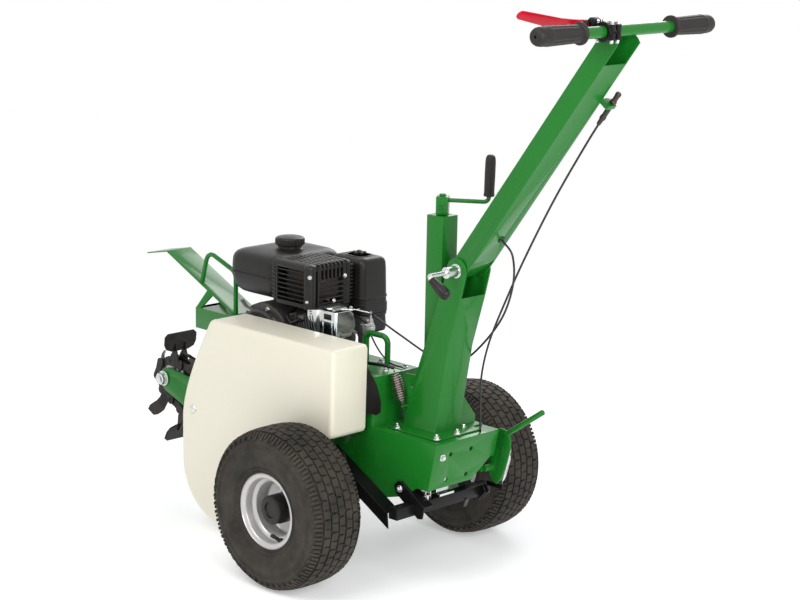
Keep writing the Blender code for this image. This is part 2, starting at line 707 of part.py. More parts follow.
def make_nose_roller(small):
    axis = boom_point(BOOM_LENGTH, 0.0)
    radius = small - PIN_RADIUS - RUN_GAP
    mesh = bmesh.new()
    add_disc(mesh, (-0.0085, *axis), (0.0085, *axis), radius, 24, bore=0.008 + RUN_GAP)
    part("nose_roller", STEEL, mesh, pivot=(0.0, *axis))


def make_drive_shaft(pins, big):
    axis = DRIVE_AXIS
    mesh = bmesh.new()
    add_disc(mesh, at(axis, -0.128), at(axis, 0.176), SHAFT_RADIUS, 12)
    first = pins[0]
    phase = math.atan2(first.y, first.x)
    count = SPROCKET_TEETH
    step = 2 * math.pi / count
    root = big - PIN_RADIUS - 0.0015
    outline = []
    for k in range(count):
        gap = phase + k * step
        for turn, radius in ((-0.17, root), (0.17, root), (0.36, big + 0.003), (0.64, big + 0.003)):
            angle = gap + turn * step
            outline.append(boom_point(radius * math.cos(angle), radius * math.sin(angle)))
    joins = bmesh.new()
    add_prism(joins, outline, -0.006, 0.006)
    add_disc(joins, at(axis, -0.022), at(axis, 0.022), 0.026, 12)
    part("drive_shaft", STEEL, mesh, joins, pivot=at(axis, 0.0))


def make_bearing(name, side):
    inner = side * (CHASSIS_HALF_WIDTH - SHEET - GAP)
    face = side * (CHASSIS_HALF_WIDTH - SHEET - GAP - 0.007)
    tip = side * (CHASSIS_HALF_WIDTH - SHEET - GAP - 0.020)
    bore = SHAFT_RADIUS + RUN_GAP
    mesh = bmesh.new()
    profile = [(inner, bore), (inner, 0.046), (face, 0.046), (face, 0.030), (tip, 0.026),
               (tip, bore)]
    add_lathe(mesh, profile, 16, (0.0, *DRIVE_AXIS))
    part(name, CAST, mesh)


# Belts and pulleys in the guard
def belt_outline(first, first_radius, second, second_radius, steps=12):
    """The open outline round two pulleys, as a closed list of (y, z)."""
    a, b = Vector(first), Vector(second)
    along = b - a
    heading = math.atan2(along.y, along.x)
    spread = math.acos((first_radius - second_radius) / along.length)
    points = []
    for centre, radius, start, end in ((a, first_radius, heading + spread,
                                        heading + 2 * math.pi - spread),
                                       (b, second_radius, heading - spread, heading + spread)):
        for k in range(steps + 1):
            angle = start + (end - start) * k / steps
            points.append((centre.x + radius * math.cos(angle), centre.y + radius * math.sin(angle)))
    return points


def make_belt(name, first, first_radius, second, second_radius, x):
    mesh = bmesh.new()
    half = BELT_WIDTH / 2
    add_prism(mesh, belt_outline(first, first_radius, second, second_radius), x - half, x + half)
    cuts = bmesh.new()
    inner = belt_outline(first, first_radius - BELT_HEIGHT, second, second_radius - BELT_HEIGHT)
    add_prism(cuts, inner, x - half - 0.01, x + half + 0.01)
    part(name, BELT_RUBBER, mesh, cuts=cuts)


def pulley_profile(x, radius, bore, hub=0.022):
    """A grooved pulley that clears the belt lying in it."""
    half = BELT_WIDTH / 2
    floor = radius - BELT_HEIGHT - 0.0012
    clear = half + 0.0006
    edge = half + 0.0036
    return [(x - edge, bore), (x - edge, radius - 0.002), (x - clear, radius - 0.002),
            (x - clear, floor), (x + clear, floor), (x + clear, radius - 0.002),
            (x + edge, radius - 0.002), (x + edge, bore)]


def make_engine_pulley():
    axis = ENGINE_AXIS
    mesh = bmesh.new()
    add_disc(mesh, at(axis, 0.0785), at(axis, 0.205), 0.0095, 12)
    joins = bmesh.new()
    add_lathe(joins, pulley_profile(INPUT_BELT_X, ENGINE_PULLEY_RADIUS, 0.008), 14, at(axis, 0.0))
    part("engine_pulley", STEEL, mesh, joins, pivot=at(axis, 0.0))


def make_jackshaft():
    axis = JACKSHAFT_AXIS
    mesh = bmesh.new()
    add_disc(mesh, at(axis, BRIDGE_RIGHT_X - 0.006), at(axis, 0.204), JACKSHAFT_RADIUS, 12)
    joins = bmesh.new()
    add_lathe(joins, pulley_profile(INPUT_BELT_X, JACK_BIG_RADIUS, 0.009), 18, at(axis, 0.0))
    add_lathe(joins, pulley_profile(FINAL_BELT_X, JACK_SMALL_RADIUS, 0.009), 12, at(axis, 0.0))
    part("jackshaft", STEEL, mesh, joins, pivot=at(axis, 0.0))


def make_driven_pulley():
    axis = DRIVE_AXIS
    mesh = bmesh.new()
    bore = SHAFT_RADIUS + GAP
    add_lathe(mesh, pulley_profile(FINAL_BELT_X, DRIVEN_RADIUS, bore), 18, at(axis, 0.0))
    part("driven_pulley", CAST, mesh, pivot=at(axis, 0.0))


def idler_arm_outline():
    a, b = Vector(IDLER_PIVOT), Vector(IDLER_CENTRE)
    heading = math.degrees(math.atan2((b - a).y, (b - a).x))
    return arc(a, 0.016, heading + 90, heading + 270, 6) + arc(b, 0.012, heading - 90, heading + 90, 6)


def make_idler():
    pivot = at(IDLER_PIVOT, 0.0)
    mesh = bmesh.new()
    add_prism(mesh, idler_arm_outline(), 0.168, 0.174)
    joins = bmesh.new()
    add_disc(joins, at(IDLER_PIVOT, 0.096), at(IDLER_PIVOT, 0.1735), 0.008, 12)
    add_disc(joins, at(IDLER_CENTRE, 0.1685), at(IDLER_CENTRE, 0.200), 0.006, 10)
    lever = [(0.1092, -0.165, 0.337), (0.1092, -0.135, 0.497), (0.096, 0.000, 0.500),
             (0.070, 0.085, 0.500), (0.056, 0.094, 0.494)]
    add_rod(joins, rounded_path(lever, 0.014, 3), 0.004)
    part("idler_arm", BLACK_PAINT, mesh, joins, pivot=pivot)
    roller = bmesh.new()
    bore = 0.006 + RUN_GAP
    add_disc(roller, at(IDLER_CENTRE, INPUT_BELT_X - 0.009), at(IDLER_CENTRE, INPUT_BELT_X + 0.009),
             IDLER_RADIUS, 16, bore=bore)
    part("idler_pulley", STEEL, roller, pivot=at(IDLER_CENTRE, 0.0))


def guard_outline(inset=0.0):
    """The belt guard's side view, drawn in by inset, going round from its top front corner."""
    rear = GUARD_REAR_Y - inset
    top = GUARD_TOP_Z - inset
    lobe = GUARD_LOBE_RADIUS - inset
    low_rear = (rear - 0.004, 0.348 + inset)
    sweep = arc(GUARD_LOBE, lobe, 10, -180, 13)
    front = []
    start = Vector((GUARD_LOBE[0] - lobe, 0.290))
    pull = Vector((GUARD_LOBE[0] - lobe, 0.372))
    end = Vector((-0.368 + 0.6 * inset, top))
    for k in range(5):
        t = k / 5
        spot = start.lerp(pull, t).lerp(pull.lerp(end, t), t)
        front.append(tuple(spot))
    knee = (GUARD_KNEE[0] - 0.7 * inset, GUARD_KNEE[1] + 0.6 * inset)
    return [tuple(end), (rear, top), low_rear, knee] + sweep + front


def make_guard():
    mesh = bmesh.new()
    add_prism(mesh, guard_outline(), GUARD_INNER_X, GUARD_OUTER_X)
    rim = [e for e in mesh.edges if all(v.co.x > GUARD_OUTER_X - 0.001 for v in e.verts)]
    bmesh.ops.bevel(mesh, geom=rim, offset=0.012, offset_type="OFFSET", segments=2, profile=0.5,
                    affect="EDGES", material=-1)
    cuts = bmesh.new()
    add_prism(cuts, guard_outline(GUARD_WALL), GUARD_INNER_X - 0.01, GUARD_OUTER_X - GUARD_WALL)
    inner_rim = [e for e in cuts.edges if all(v.co.x > GUARD_OUTER_X - 0.004 for v in e.verts)]
    bmesh.ops.bevel(cuts, geom=inner_rim, offset=0.011, offset_type="OFFSET", segments=1,
                    profile=0.5, affect="EDGES", material=-1)
    part("belt_guard", CREAM, mesh, cuts=cuts)


def make_backplate():
    near = GUARD_INNER_X - GAP
    far = near - BACKPLATE_SHEET
    mesh = bmesh.new()
    add_prism(mesh, guard_outline(0.001), far, near)
    joins = bmesh.new()
    lobe = [(0.050, 0.505), (0.070, 0.497), (0.098, 0.462), (0.111, 0.428), (0.111, 0.402),
            (0.098, 0.392), (0.050, 0.392)]
    add_prism(joins, lobe, far + 0.0002, near - 0.0002)
    for y, z in ((-0.300, 0.330), (0.000, 0.340), (-0.385, 0.290), (0.055, 0.445), (-0.080, 0.345)):
        add_disc(joins, (CHASSIS_HALF_WIDTH + GAP, y, z), (far + 0.001, y, z), 0.009, 8)
    cuts = bmesh.new()
    add_disc(cuts, at(ENGINE_AXIS, far - 0.02), at(ENGINE_AXIS, near + 0.02), 0.024, 12)
    add_disc(cuts, at(JACKSHAFT_AXIS, far - 0.02), at(JACKSHAFT_AXIS, near + 0.02), 0.013, 12)
    add_disc(cuts, at(DRIVE_AXIS, far - 0.02), at(DRIVE_AXIS, near + 0.02), 0.016, 12)
    add_disc(cuts, at(IDLER_PIVOT, far - 0.02), at(IDLER_PIVOT, near + 0.02),
             0.008 + RUN_GAP, 12)
    part("guard_backplate", BLACK_PAINT, mesh, joins, cuts)


# Engine
def make_crankcase():
    y, z = ENGINE_AXIS
    base = ENGINE_BASE_Z
    outline = [(-0.429, base), (-0.215, base), (-0.215, base + 0.012), (-0.250, base + 0.020)]
    outline += arc((y, z), 0.088, -35, 200, 12)
    outline += [(-0.405, base + 0.020), (-0.429, base + 0.012)]
    mesh = bmesh.new()
    add_prism(mesh, outline, -0.080, 0.078)
    joins = bmesh.new()
    add_disc(joins, at(ENGINE_AXIS, 0.070), at(ENGINE_AXIS, 0.094), 0.066, 20)
    add_disc(joins, at(ENGINE_AXIS, 0.090), at(ENGINE_AXIS, 0.100), 0.020, 12)
    cuts = bmesh.new()
    add_disc(cuts, at(ENGINE_AXIS, 0.0780), at(ENGINE_AXIS, 0.12), 0.0095 + RUN_GAP, 12)
    part("crankcase", CAST, mesh, joins, cuts)


def along_cylinder(distance, across=0.0):
    """Machine (y, z) of a point on the tilted cylinder's side view."""
    c, s = math.cos(CYLINDER_TILT), math.sin(CYLINDER_TILT)
    y, z = ENGINE_AXIS
    return (y + distance * c - across * s, z + distance * s + across * c)


def cylinder_slice(start, end, half_height):
    corners = ((start, -half_height), (end, -half_height), (end, half_height), (start, half_height))
    return [along_cylinder(a, b) for a, b in corners]


def make_cylinder():
    mesh = bmesh.new()
    add_prism(mesh, cylinder_slice(0.0873, 0.196, 0.040), -0.034, 0.060)
    joins = bmesh.new()
    for k in range(FIN_COUNT):
        start = 0.103 + k * FIN_PITCH
        add_prism(joins, cylinder_slice(start, start + FIN_SHEET, 0.056), -0.050, 0.080)
    part("cylinder_barrel", CAST, mesh, joins, smooth=False)


def make_rocker_cover():
    start, end = 0.1965, 0.232
    mesh = bmesh.new()
    add_prism(mesh, cylinder_slice(start, start + 0.008, 0.048), -0.028, 0.062)
    joins = bmesh.new()
    ring = []
    for x, across in ((-0.020, -0.018), (-0.020, 0.018), (-0.004, 0.040), (0.038, 0.040),
                      (0.054, 0.018), (0.054, -0.018), (0.038, -0.040), (-0.004, -0.040)):
        y, z = along_cylinder(start + 0.004, across)
        ring.append((x, y, z))
    y0, z0 = along_cylinder(0.0)
    y1, z1 = along_cylinder(end - start - 0.004)
    add_slab(joins, ring, Vector((0.0, y1 - y0, z1 - z0)))
    part("rocker_cover", CAST, mesh, joins, bevel=0.0)


def make_head_shield():
    """The plated sheet beside the cylinder head that turns hot air away."""
    mesh = bmesh.new()
    outline = [(0.0643, -0.148), (0.0643, -0.066), (0.0628, -0.0645), (-0.030, -0.0645),
               (-0.030, -0.0665), (0.0613, -0.0665), (0.0623, -0.0675), (0.0623, -0.148)]
    add_prism(mesh, outline, 0.503, 0.590, "Z")
    part("head_shield", ZINC, mesh, smooth=False)


def make_muffler():
    mesh = bmesh.new()
    add_box(mesh, (-0.002, 0.084), (-0.268, -0.168), (0.604, 0.688))
    bmesh.ops.bevel(mesh, geom=mesh.edges[:], offset=0.014, offset_type="OFFSET", segments=2,
                    profile=0.5, affect="EDGES", material=-1)
    joins = bmesh.new()
    add_disc(joins, (0.020, -0.200, 0.612), (0.020, -0.200, 0.5895), 0.012, 10)
    part("muffler", STEEL, mesh, joins)


def make_muffler_guard():
    low, high = 0.5935, 0.700
    mesh = bmesh.new()
    add_box(mesh, (-0.048, 0.095), (-0.279, -0.155), (low, high))
    uprights = [e for e in mesh.edges if abs(e.verts[0].co.z - e.verts[1].co.z) > 0.05]
    tops = [e for e in mesh.edges if all(v.co.z > high - 0.001 for v in e.verts)]
    bmesh.ops.bevel(mesh, geom=uprights + tops, offset=0.010, offset_type="OFFSET", segments=2,
                    profile=0.5, affect="EDGES", material=-1)
    cuts = bmesh.new()
    add_box(cuts, (-0.0458, 0.0928), (-0.2768, -0.1572), (low - 0.01, high - 0.0022))
    uprights = [e for e in cuts.edges if abs(e.verts[0].co.z - e.verts[1].co.z) > 0.05]
    tops = [e for e in cuts.edges if all(v.co.z > high - 0.003 for v in e.verts)]
    bmesh.ops.bevel(cuts, geom=uprights + tops, offset=0.0078, offset_type="OFFSET", segments=2,
                    profile=0.5, affect="EDGES", material=-1)
    for k in range(6):
        z = low + 0.012 + k * 0.0155
        add_box(cuts, (0.080, 0.11), (-0.263, -0.171), (z, z + 0.0085))
    for k in range(7):
        x = -0.030 + k * 0.0155
        add_box(cuts, (x, x + 0.0085), (-0.165, -0.14), (low + 0.012, high - 0.014))
    part("muffler_guard", BLACK_PLASTIC, mesh, cuts=cuts)


def make_fan_cover():
    axis = ENGINE_AXIS
    profile = [(-0.0803, 0.0005), (-0.0803, 0.0915), (-0.118, 0.0915), (-0.128, 0.087),
               (-0.130, 0.070), (-0.146, 0.060), (-0.150, 0.030), (-0.150, 0.0005)]
    mesh = bmesh.new()
    add_lathe(mesh, profile, 24, at(axis, 0.0))
    part("fan_cover", BLACK_PLASTIC, mesh)


def make_recoil_grip():
    mesh = bmesh.new()
    add_box(mesh, (-0.152, -0.102), (-0.462, -0.4425), (0.474, 0.490))
    bmesh.ops.bevel(mesh, geom=mesh.edges[:], offset=0.005, offset_type="OFFSET", segments=1,
                    profile=0.5, affect="EDGES", material=-1)
    joins = bmesh.new()
    add_disc(joins, (-0.122, -0.4435, 0.482), (-0.122, -0.4260, 0.482), 0.0035, 8)
    part("recoil_grip", BLACK_PLASTIC, mesh, joins, pivot=(-0.122, -0.445, 0.482))


def make_tank():
    mesh = bmesh.new()
    add_box(mesh, (-0.150, 0.078), (-0.475, -0.2835), (0.5845, 0.700))
    uprights = [e for e in mesh.edges if abs(e.verts[0].co.z - e.verts[1].co.z) > 0.05]
    bmesh.ops.bevel(mesh, geom=uprights, offset=0.034, offset_type="OFFSET", segments=3,
                    profile=0.5, affect="EDGES", material=-1)
    flat = [e for e in mesh.edges if abs(e.verts[0].co.z - e.verts[1].co.z) < 1e-5]
    bmesh.ops.bevel(mesh, geom=flat, offset=0.020, offset_type="OFFSET", segments=2,
                    profile=0.5, affect="EDGES", material=-1)
    joins = bmesh.new()
    add_disc(joins, (-0.030, -0.363, 0.690), (-0.030, -0.363, 0.706), 0.028, 20)
    for x, y in ((-0.060, -0.330), (0.040, -0.330)):
        add_disc(joins, (x, y, 0.5797), (x, y, 0.590), 0.010, 8)
    part("fuel_tank", BLACK_PLASTIC, mesh, joins)


def make_fuel_cap():
    profile = [(0.7063, 0.0005), (0.7063, 0.034), (0.709, 0.036), (0.723, 0.036),
               (0.727, 0.032), (0.729, 0.0005)]
    mesh = bmesh.new()
    add_lathe(mesh, [(a, r) for a, r in profile], 20, (-0.030, -0.363, 0.0), (0, 0, 1))
    part("fuel_cap", BLACK_PLASTIC, mesh, pivot=(-0.030, -0.363, 0.706))


def make_air_cleaner():
    mesh = bmesh.new()
    add_box(mesh, (-0.150, -0.0545), (-0.255, -0.128), (0.562, 0.700))
    edges = [e for e in mesh.edges if abs(e.verts[0].co.z - e.verts[1].co.z) > 0.05]
    edges += [e for e in mesh.edges if all(v.co.z > 0.699 for v in e.verts)]
    bmesh.ops.bevel(mesh, geom=edges, offset=0.010, offset_type="OFFSET", segments=2,
                    profile=0.5, affect="EDGES", material=-1)
    joins = bmesh.new()
    add_disc(joins, (-0.102, -0.190, 0.699), (-0.102, -0.190, 0.708), 0.020, 8)
    part("air_cleaner_cover", BLACK_PLASTIC, mesh, joins)
    base = bmesh.new()
    add_box(base, (-0.146, -0.0665), (-0.2400, -0.130), (0.513, 0.5617))
    bmesh.ops.bevel(base, geom=[e for e in base.edges if abs(e.verts[0].co.z - e.verts[1].co.z) > 0.02],
                    offset=0.012, offset_type="OFFSET", segments=2, profile=0.5, affect="EDGES",
                    material=-1)
    part("air_cleaner_base", BLACK_PLASTIC, base)


def make_carburettor():
    mesh = bmesh.new()
    add_box(mesh, (-0.0662, -0.0343), (-0.145, -0.098), (0.515, 0.560))
    joins = bmesh.new()
    add_disc(joins, (-0.052, -0.120, 0.492), (-0.052, -0.120, 0.516), 0.014, 10)
    add_disc(joins, (-0.046, -0.099, 0.540), (-0.046, -0.092, 0.540), 0.008, 8)
    part("carburettor", CAST, mesh, joins)


def make_throttle_lever():
    mesh = bmesh.new()
    add_disc(mesh, (-0.046, -0.0917, 0.540), (-0.046, -0.0885, 0.540), 0.009, 10)
    joins = bmesh.new()
    outline = [(-0.050, 0.540), (-0.042, 0.540), (-0.043, 0.582), (-0.049, 0.582)]
    add_prism(joins, outline, -0.0915, -0.0890, "Y")
    part("throttle_lever", STEEL, mesh, joins, pivot=(-0.046, -0.090, 0.540))


def make_hoop():
    mesh = bmesh.new()
    top = 0.545
    bow = [(0.0, 0.016, BRIDGE_TOP_Z + GAP), (0.0, 0.016, top), (0.0, -0.056, top),
           (0.0, -0.056, BRIDGE_TOP_Z + GAP)]
    add_rod(mesh, rounded_path(bow, 0.018, 4), 0.007)
    part("cable_hoop", GREEN, mesh)


# Column, jack and wheel carriage
def make_column():
    outer = COLUMN_HALF_WIDTH
    wall = COLUMN_WALL
    foot = DECK_Z + GAP
    inner_rear = JACK_Y + JACK_HALF + GAP
    rear_low = (inner_rear + wall, foot)
    rear_high = (0.286, 0.690)
    side = [(0.116, foot), (0.116, 0.484), (0.150, 0.486), (0.176, 0.562), (0.226, 0.700)]
    side += arc(HANDLE_PIVOT, 0.030, 190, -10, 8)
    side += [rear_high, (0.250, 0.566), rear_low]
    mesh = bmesh.new()
    add_prism(mesh, side, -outer, outer)
    joins = bmesh.new()
    add_box(joins, (-0.066, 0.084), (0.104, 0.262), (foot, foot + 0.004))
    add_box(joins, (-0.103, -0.060), (0.150, 0.232), (foot, foot + 0.004))
    gusset = [(-outer + 0.001, foot + 0.003), (-0.101, foot + 0.003), (-0.101, 0.378),
              (-0.052, 0.440), (-outer + 0.001, 0.440)]
    add_prism(joins, gusset, 0.206, 0.2095, "Y")
    add_disc(joins, (outer - 0.001, *SPRING_STUD), (0.0605, *SPRING_STUD), 0.003, 8)
    cuts = bmesh.new()
    inner = outer - wall
    rear = [(0.05, foot + 0.004), (inner_rear, foot + 0.004), (0.246, 0.566), (0.2818, 0.688),
            (0.30, 0.690), (0.34, 0.80), (0.34, 0.85), (0.05, 0.85)]
    add_prism(cuts, rear, -inner, inner)
    opening = JACK_HALF + GAP
    add_box(cuts, (-opening, opening), (JACK_Y - opening, JACK_Y + opening),
            (foot - 0.02, foot + 0.02))
    add_disc(cuts, at(HANDLE_PIVOT, -0.06), at(HANDLE_PIVOT, 0.06), 0.006 + RUN_GAP, 12)
    add_disc(cuts, (0.030, 0.140, 0.458), (0.050, 0.140, 0.458), 0.005, 8)
    part("handle_column", GREEN, mesh, joins, cuts, smooth=False)


def make_jack():
    half = JACK_HALF
    bore = JACK_HALF - JACK_WALL
    mesh = bmesh.new()
    add_box(mesh, (-half, half), (JACK_Y - half, JACK_Y + half), (JACK_LOW_Z, JACK_TOP_Z))
    cuts = bmesh.new()
    add_box(cuts, (-bore, bore), (JACK_Y - bore, JACK_Y + bore), (JACK_LOW_Z - 0.01, JACK_TOP_Z - 0.004))
    add_disc(cuts, (0.0, JACK_Y, JACK_TOP_Z - 0.02), (0.0, JACK_Y, JACK_TOP_Z + 0.02), 0.0104, 12)
    part("jack_tube", GREEN, mesh, cuts=cuts, smooth=False)
    leg = bmesh.new()
    add_box(leg, (-LEG_HALF, LEG_HALF), (JACK_Y - LEG_HALF, JACK_Y + LEG_HALF),
            (JACK_FOOT_Z + 0.004, LEG_TOP_Z))
    joins = bmesh.new()
    add_box(joins, (-0.024, 0.024), (JACK_Y - 0.024, JACK_Y + 0.036),
            (JACK_FOOT_Z, JACK_FOOT_Z + 0.006))
    hollow = bmesh.new()
    add_disc(hollow, (0.0, JACK_Y, 0.40), (0.0, JACK_Y, LEG_TOP_Z + 0.01), 0.0104, 12)
    part("jack_leg", ZINC, leg, joins, hollow, pivot=(0.0, JACK_Y, JACK_FOOT_Z), smooth=False)


def make_crank():
    axis_point = (0.0, JACK_Y, JACK_TOP_Z)
    mesh = bmesh.new()
    add_box(mesh, (-0.014, 0.014), (JACK_Y - 0.014, JACK_Y + 0.014), (JACK_TOP_Z + GAP, 0.905))
    turn = Matrix.Translation(axis_point) @ Matrix.Rotation(CRANK_HEADING, 4, "Z")
    turn = turn @ Matrix.Translation(-Vector(axis_point))
    bmesh.ops.transform(mesh, matrix=turn, verts=mesh.verts)
    joins = bmesh.new()
    add_disc(joins, (0.0, JACK_Y, 0.690 - 0.28), (0.0, JACK_Y, JACK_TOP_Z + 0.002), 0.010, 12)
    dx, dy = -math.sin(CRANK_HEADING), math.cos(CRANK_HEADING)

    def out(distance, z):
        return (dx * distance, JACK_Y + dy * distance, z)
    rod = [out(0.010, CRANK_Z), out(CRANK_RADIUS, CRANK_Z), out(CRANK_RADIUS + 0.002, CRANK_Z + 0.100)]
    add_rod(joins, rounded_path(rod, 0.009, 3), 0.005)
    part("crank_arm", GREEN, mesh, joins, pivot=axis_point)
    grip = bmesh.new()
    low = Vector(out(CRANK_RADIUS + 0.00026, CRANK_Z + 0.013))
    up = (Vector(rod[2]) - Vector(rod[1])).normalized()
    bore = bore_for(0.005)
    length = CRANK_GRIP_LENGTH
    profile = [(0.0, bore), (0.0, 0.0115), (0.004, 0.0125), (length - 0.006, 0.0115),
               (length, 0.009), (length, 0.0005), (length - 0.006, 0.0005), (length - 0.006, bore)]
    add_lathe(grip, profile, 12, low, up)
    part("crank_grip", RUBBER, grip, pivot=axis_point)


def make_carriage():
    pivot = CARRIAGE_PIVOT
    y, z = CROSS_TUBE
    half = CROSS_HALF
    mesh = bmesh.new()
    add_box(mesh, (-ARM_X[1], ARM_X[1]), (y - half, y + half), (z - half, z + half))
    joins = bmesh.new()
    plate = arc(pivot, 0.024, 100, 250, 6) + arc((0.0, WHEEL_RADIUS), 0.028, 250, 360, 6)
    plate += [(0.046, 0.292), (0.022, 0.322), (-0.010, 0.322), (-0.060, 0.286)]
    start = Vector((0.030, 0.313))
    end = Vector((0.222, 0.146))
    along = (end - start).normalized()
    across = Vector((along.y, -along.x))
    if across.y < 0:
        across = -across
    for side in (1, -1):
        low, high = sorted((side * ARM_X[0], side * ARM_X[1]))
        add_prism(joins, plate, low, high)
        web = [tuple(start + across * 0.020), tuple(end + across * 0.020),
               tuple(end - across * 0.020), tuple(start - across * 0.020)]
        add_prism(joins, web, low, high)
        flange = [tuple(start + across * 0.020), tuple(end + across * 0.020),
                  tuple(end + across * 0.016), tuple(start + across * 0.016)]
        low, high = sorted((side * ARM_X[0], side * (ARM_X[0] + 0.036)))
        add_prism(joins, flange, low, high)
        inner, outer = side * 0.151, side * (HALF_TRACK + HUB_END - 0.0075)
        add_disc(joins, at((0.0, WHEEL_RADIUS), inner), at((0.0, WHEEL_RADIUS), outer),
                 STUB_RADIUS, 12)
        shoulder = side * (HALF_TRACK - 0.046 - 0.0006)
        add_disc(joins, at((0.0, WHEEL_RADIUS), inner), at((0.0, WHEEL_RADIUS), shoulder),
                 0.018, 12)
    add_disc(joins, at(pivot, -0.152), at(pivot, 0.152), PIVOT_RADIUS, 12)
    for x_low, x_high, flap in ((0.1062, 0.1102, 0.026), (-0.0900, -0.0860, 0.026)):
        lug_start = Vector((0.176, 0.238))
        lug_end = Vector((0.252, 0.163))
        run = (lug_end - lug_start).normalized()
        side_way = Vector((-run.y, run.x))
        outline = [tuple(lug_start + side_way * 0.014), tuple(lug_end + side_way * 0.014),
                   tuple(lug_end - side_way * 0.018), tuple(lug_start - side_way * 0.014)]
        add_prism(joins, outline, x_low, x_high)
        upper = [tuple(lug_start + side_way * 0.014), tuple(lug_end + side_way * 0.014),
                 tuple(lug_end + side_way * 0.010), tuple(lug_start + side_way * 0.010)]
        add_prism(joins, upper, x_low, x_low + flap)
    add_box(joins, (-0.1446, -0.1404), (y + half - 0.001, LOCK_ANCHOR[0] + 0.004),
            (LOCK_ANCHOR[1] - 0.010, LOCK_ANCHOR[1] + 0.002))
    part("wheel_carriage", BLACK_PAINT, mesh, joins, pivot=at(pivot, 0.0), smooth=False)


# Handle arm, bar and controls
def arm_point(along, above):
    """Machine (y, z) along and above the arm's centre line, from its pivot."""
    run = Vector(BAR_AXIS) - Vector(HANDLE_PIVOT)
    along_dir = run.normalized()
    above_dir = Vector((-along_dir.y, along_dir.x))
    spot = Vector(HANDLE_PIVOT) + along_dir * along + above_dir * above
    return (spot.x, spot.y)


def arm_length():
    return (Vector(BAR_AXIS) - Vector(HANDLE_PIVOT)).length


def make_handle_arm():
    half = ARM_DEPTH / 2
    length = arm_length()
    end = length - BAR_RADIUS - GAP
    outline = [arm_point(0.040, -half), arm_point(end - 0.004, -half), arm_point(end, -half + 0.012),
               arm_point(end, half), arm_point(0.030, half)]
    heading = math.degrees(math.atan2(BAR_AXIS[1] - HANDLE_PIVOT[1], BAR_AXIS[0] - HANDLE_PIVOT[0]))
    outline += arc(HANDLE_PIVOT, 0.0225, heading + 100, heading + 260, 8)
    mesh = bmesh.new()
    add_prism(mesh, outline, -ARM_HALF_WIDTH, ARM_HALF_WIDTH)
    cuts = bmesh.new()
    inner = ARM_HALF_WIDTH - ARM_WALL
    hollow = [arm_point(-0.05, -half + ARM_WALL), arm_point(length + 0.05, -half + ARM_WALL),
              arm_point(length + 0.05, half - ARM_WALL), arm_point(-0.05, half - ARM_WALL)]
    add_prism(cuts, hollow, -inner, inner)
    mouth = [arm_point(length - 0.075, -half - 0.01), arm_point(length + 0.05, -half - 0.01),
             arm_point(length + 0.05, -half + 0.010), arm_point(length - 0.075, -half + 0.010)]
    add_prism(cuts, mouth, -inner, inner)
    foot = [arm_point(-0.05, -half - 0.01), arm_point(0.045, -half - 0.01), arm_point(0.045, -half + 0.01),
            arm_point(-0.05, -half + 0.010)]
    add_prism(cuts, foot, -inner, inner)
    spine = [arm_point(-0.05, half + 0.01), arm_point(0.030, half + 0.01), arm_point(0.030, half - 0.01),
             arm_point(-0.05, half - 0.01)]
    add_prism(cuts, spine, -inner, inner)
    add_disc(cuts, at(HANDLE_PIVOT, -0.06), at(HANDLE_PIVOT, 0.06), 0.006 + RUN_GAP, 12)
    hole = CABLE_RADIUS + GAP
    outside = arm_point(THROTTLE_HOLE, -half - 0.02)
    inside = arm_point(THROTTLE_HOLE, 0.0)
    add_disc(cuts, (-0.010, *outside), (-0.010, *inside), hole, 8)
    joins = bmesh.new()
    low, high = CABLE_LUG - 0.005, CABLE_LUG + 0.005
    lug = [arm_point(low, -half + 0.002), arm_point(high, -half + 0.002),
           arm_point(high, -half - 0.024), arm_point(low, -half - 0.024)]
    add_prism(joins, lug, CABLE_X - 0.008, CABLE_X + 0.020)
    above_lug = arm_point(CABLE_LUG + 0.02, -half - CABLE_DROP)
    below_lug = arm_point(CABLE_LUG - 0.02, -half - CABLE_DROP)
    add_disc(cuts, (CABLE_X, *above_lug), (CABLE_X, *below_lug), hole, 8)
    part("handle_arm", GREEN, mesh, joins, cuts, pivot=at(HANDLE_PIVOT, 0.0), smooth=False)


def make_bar():
    axis = BAR_AXIS
    mesh = bmesh.new()
    add_disc(mesh, at(axis, -BAR_HALF_LENGTH), at(axis, BAR_HALF_LENGTH), BAR_RADIUS, 20)
    part("handlebar", GREEN, mesh, pivot=at(HANDLE_PIVOT, 0.0))
    for name, side in (("grip_left", 1), ("grip_right", -1)):
        bore = BAR_RADIUS + GAP
        start = BAR_HALF_LENGTH + 0.015 - GRIP_LENGTH
        end = BAR_HALF_LENGTH + 0.015
        profile = [(start, bore), (start, GRIP_RADIUS + 0.004), (start + 0.006, GRIP_RADIUS + 0.004),
                   (start + 0.008, GRIP_RADIUS - 0.002), (end - 0.030, GRIP_RADIUS),
                   (end - 0.008, GRIP_RADIUS - 0.001), (end, GRIP_RADIUS - 0.007), (end, 0.003),
                   (end - 0.0145, 0.003), (end - 0.0145, bore)]
        grip = bmesh.new()
        add_lathe(grip, [(side * a, r) for a, r in profile], 16, at(axis, 0.0))
        part(name, RUBBER, grip, pivot=at(HANDLE_PIVOT, 0.0))


def lever_point(across, up):
    """Machine (y, z) of a point in the lever's own frame: toward the grip and along its pin."""
    y, z = LEVER_AXIS
    return (LEVER_PIVOT[1] + across * z + up * y, LEVER_PIVOT[2] - across * y + up * z)


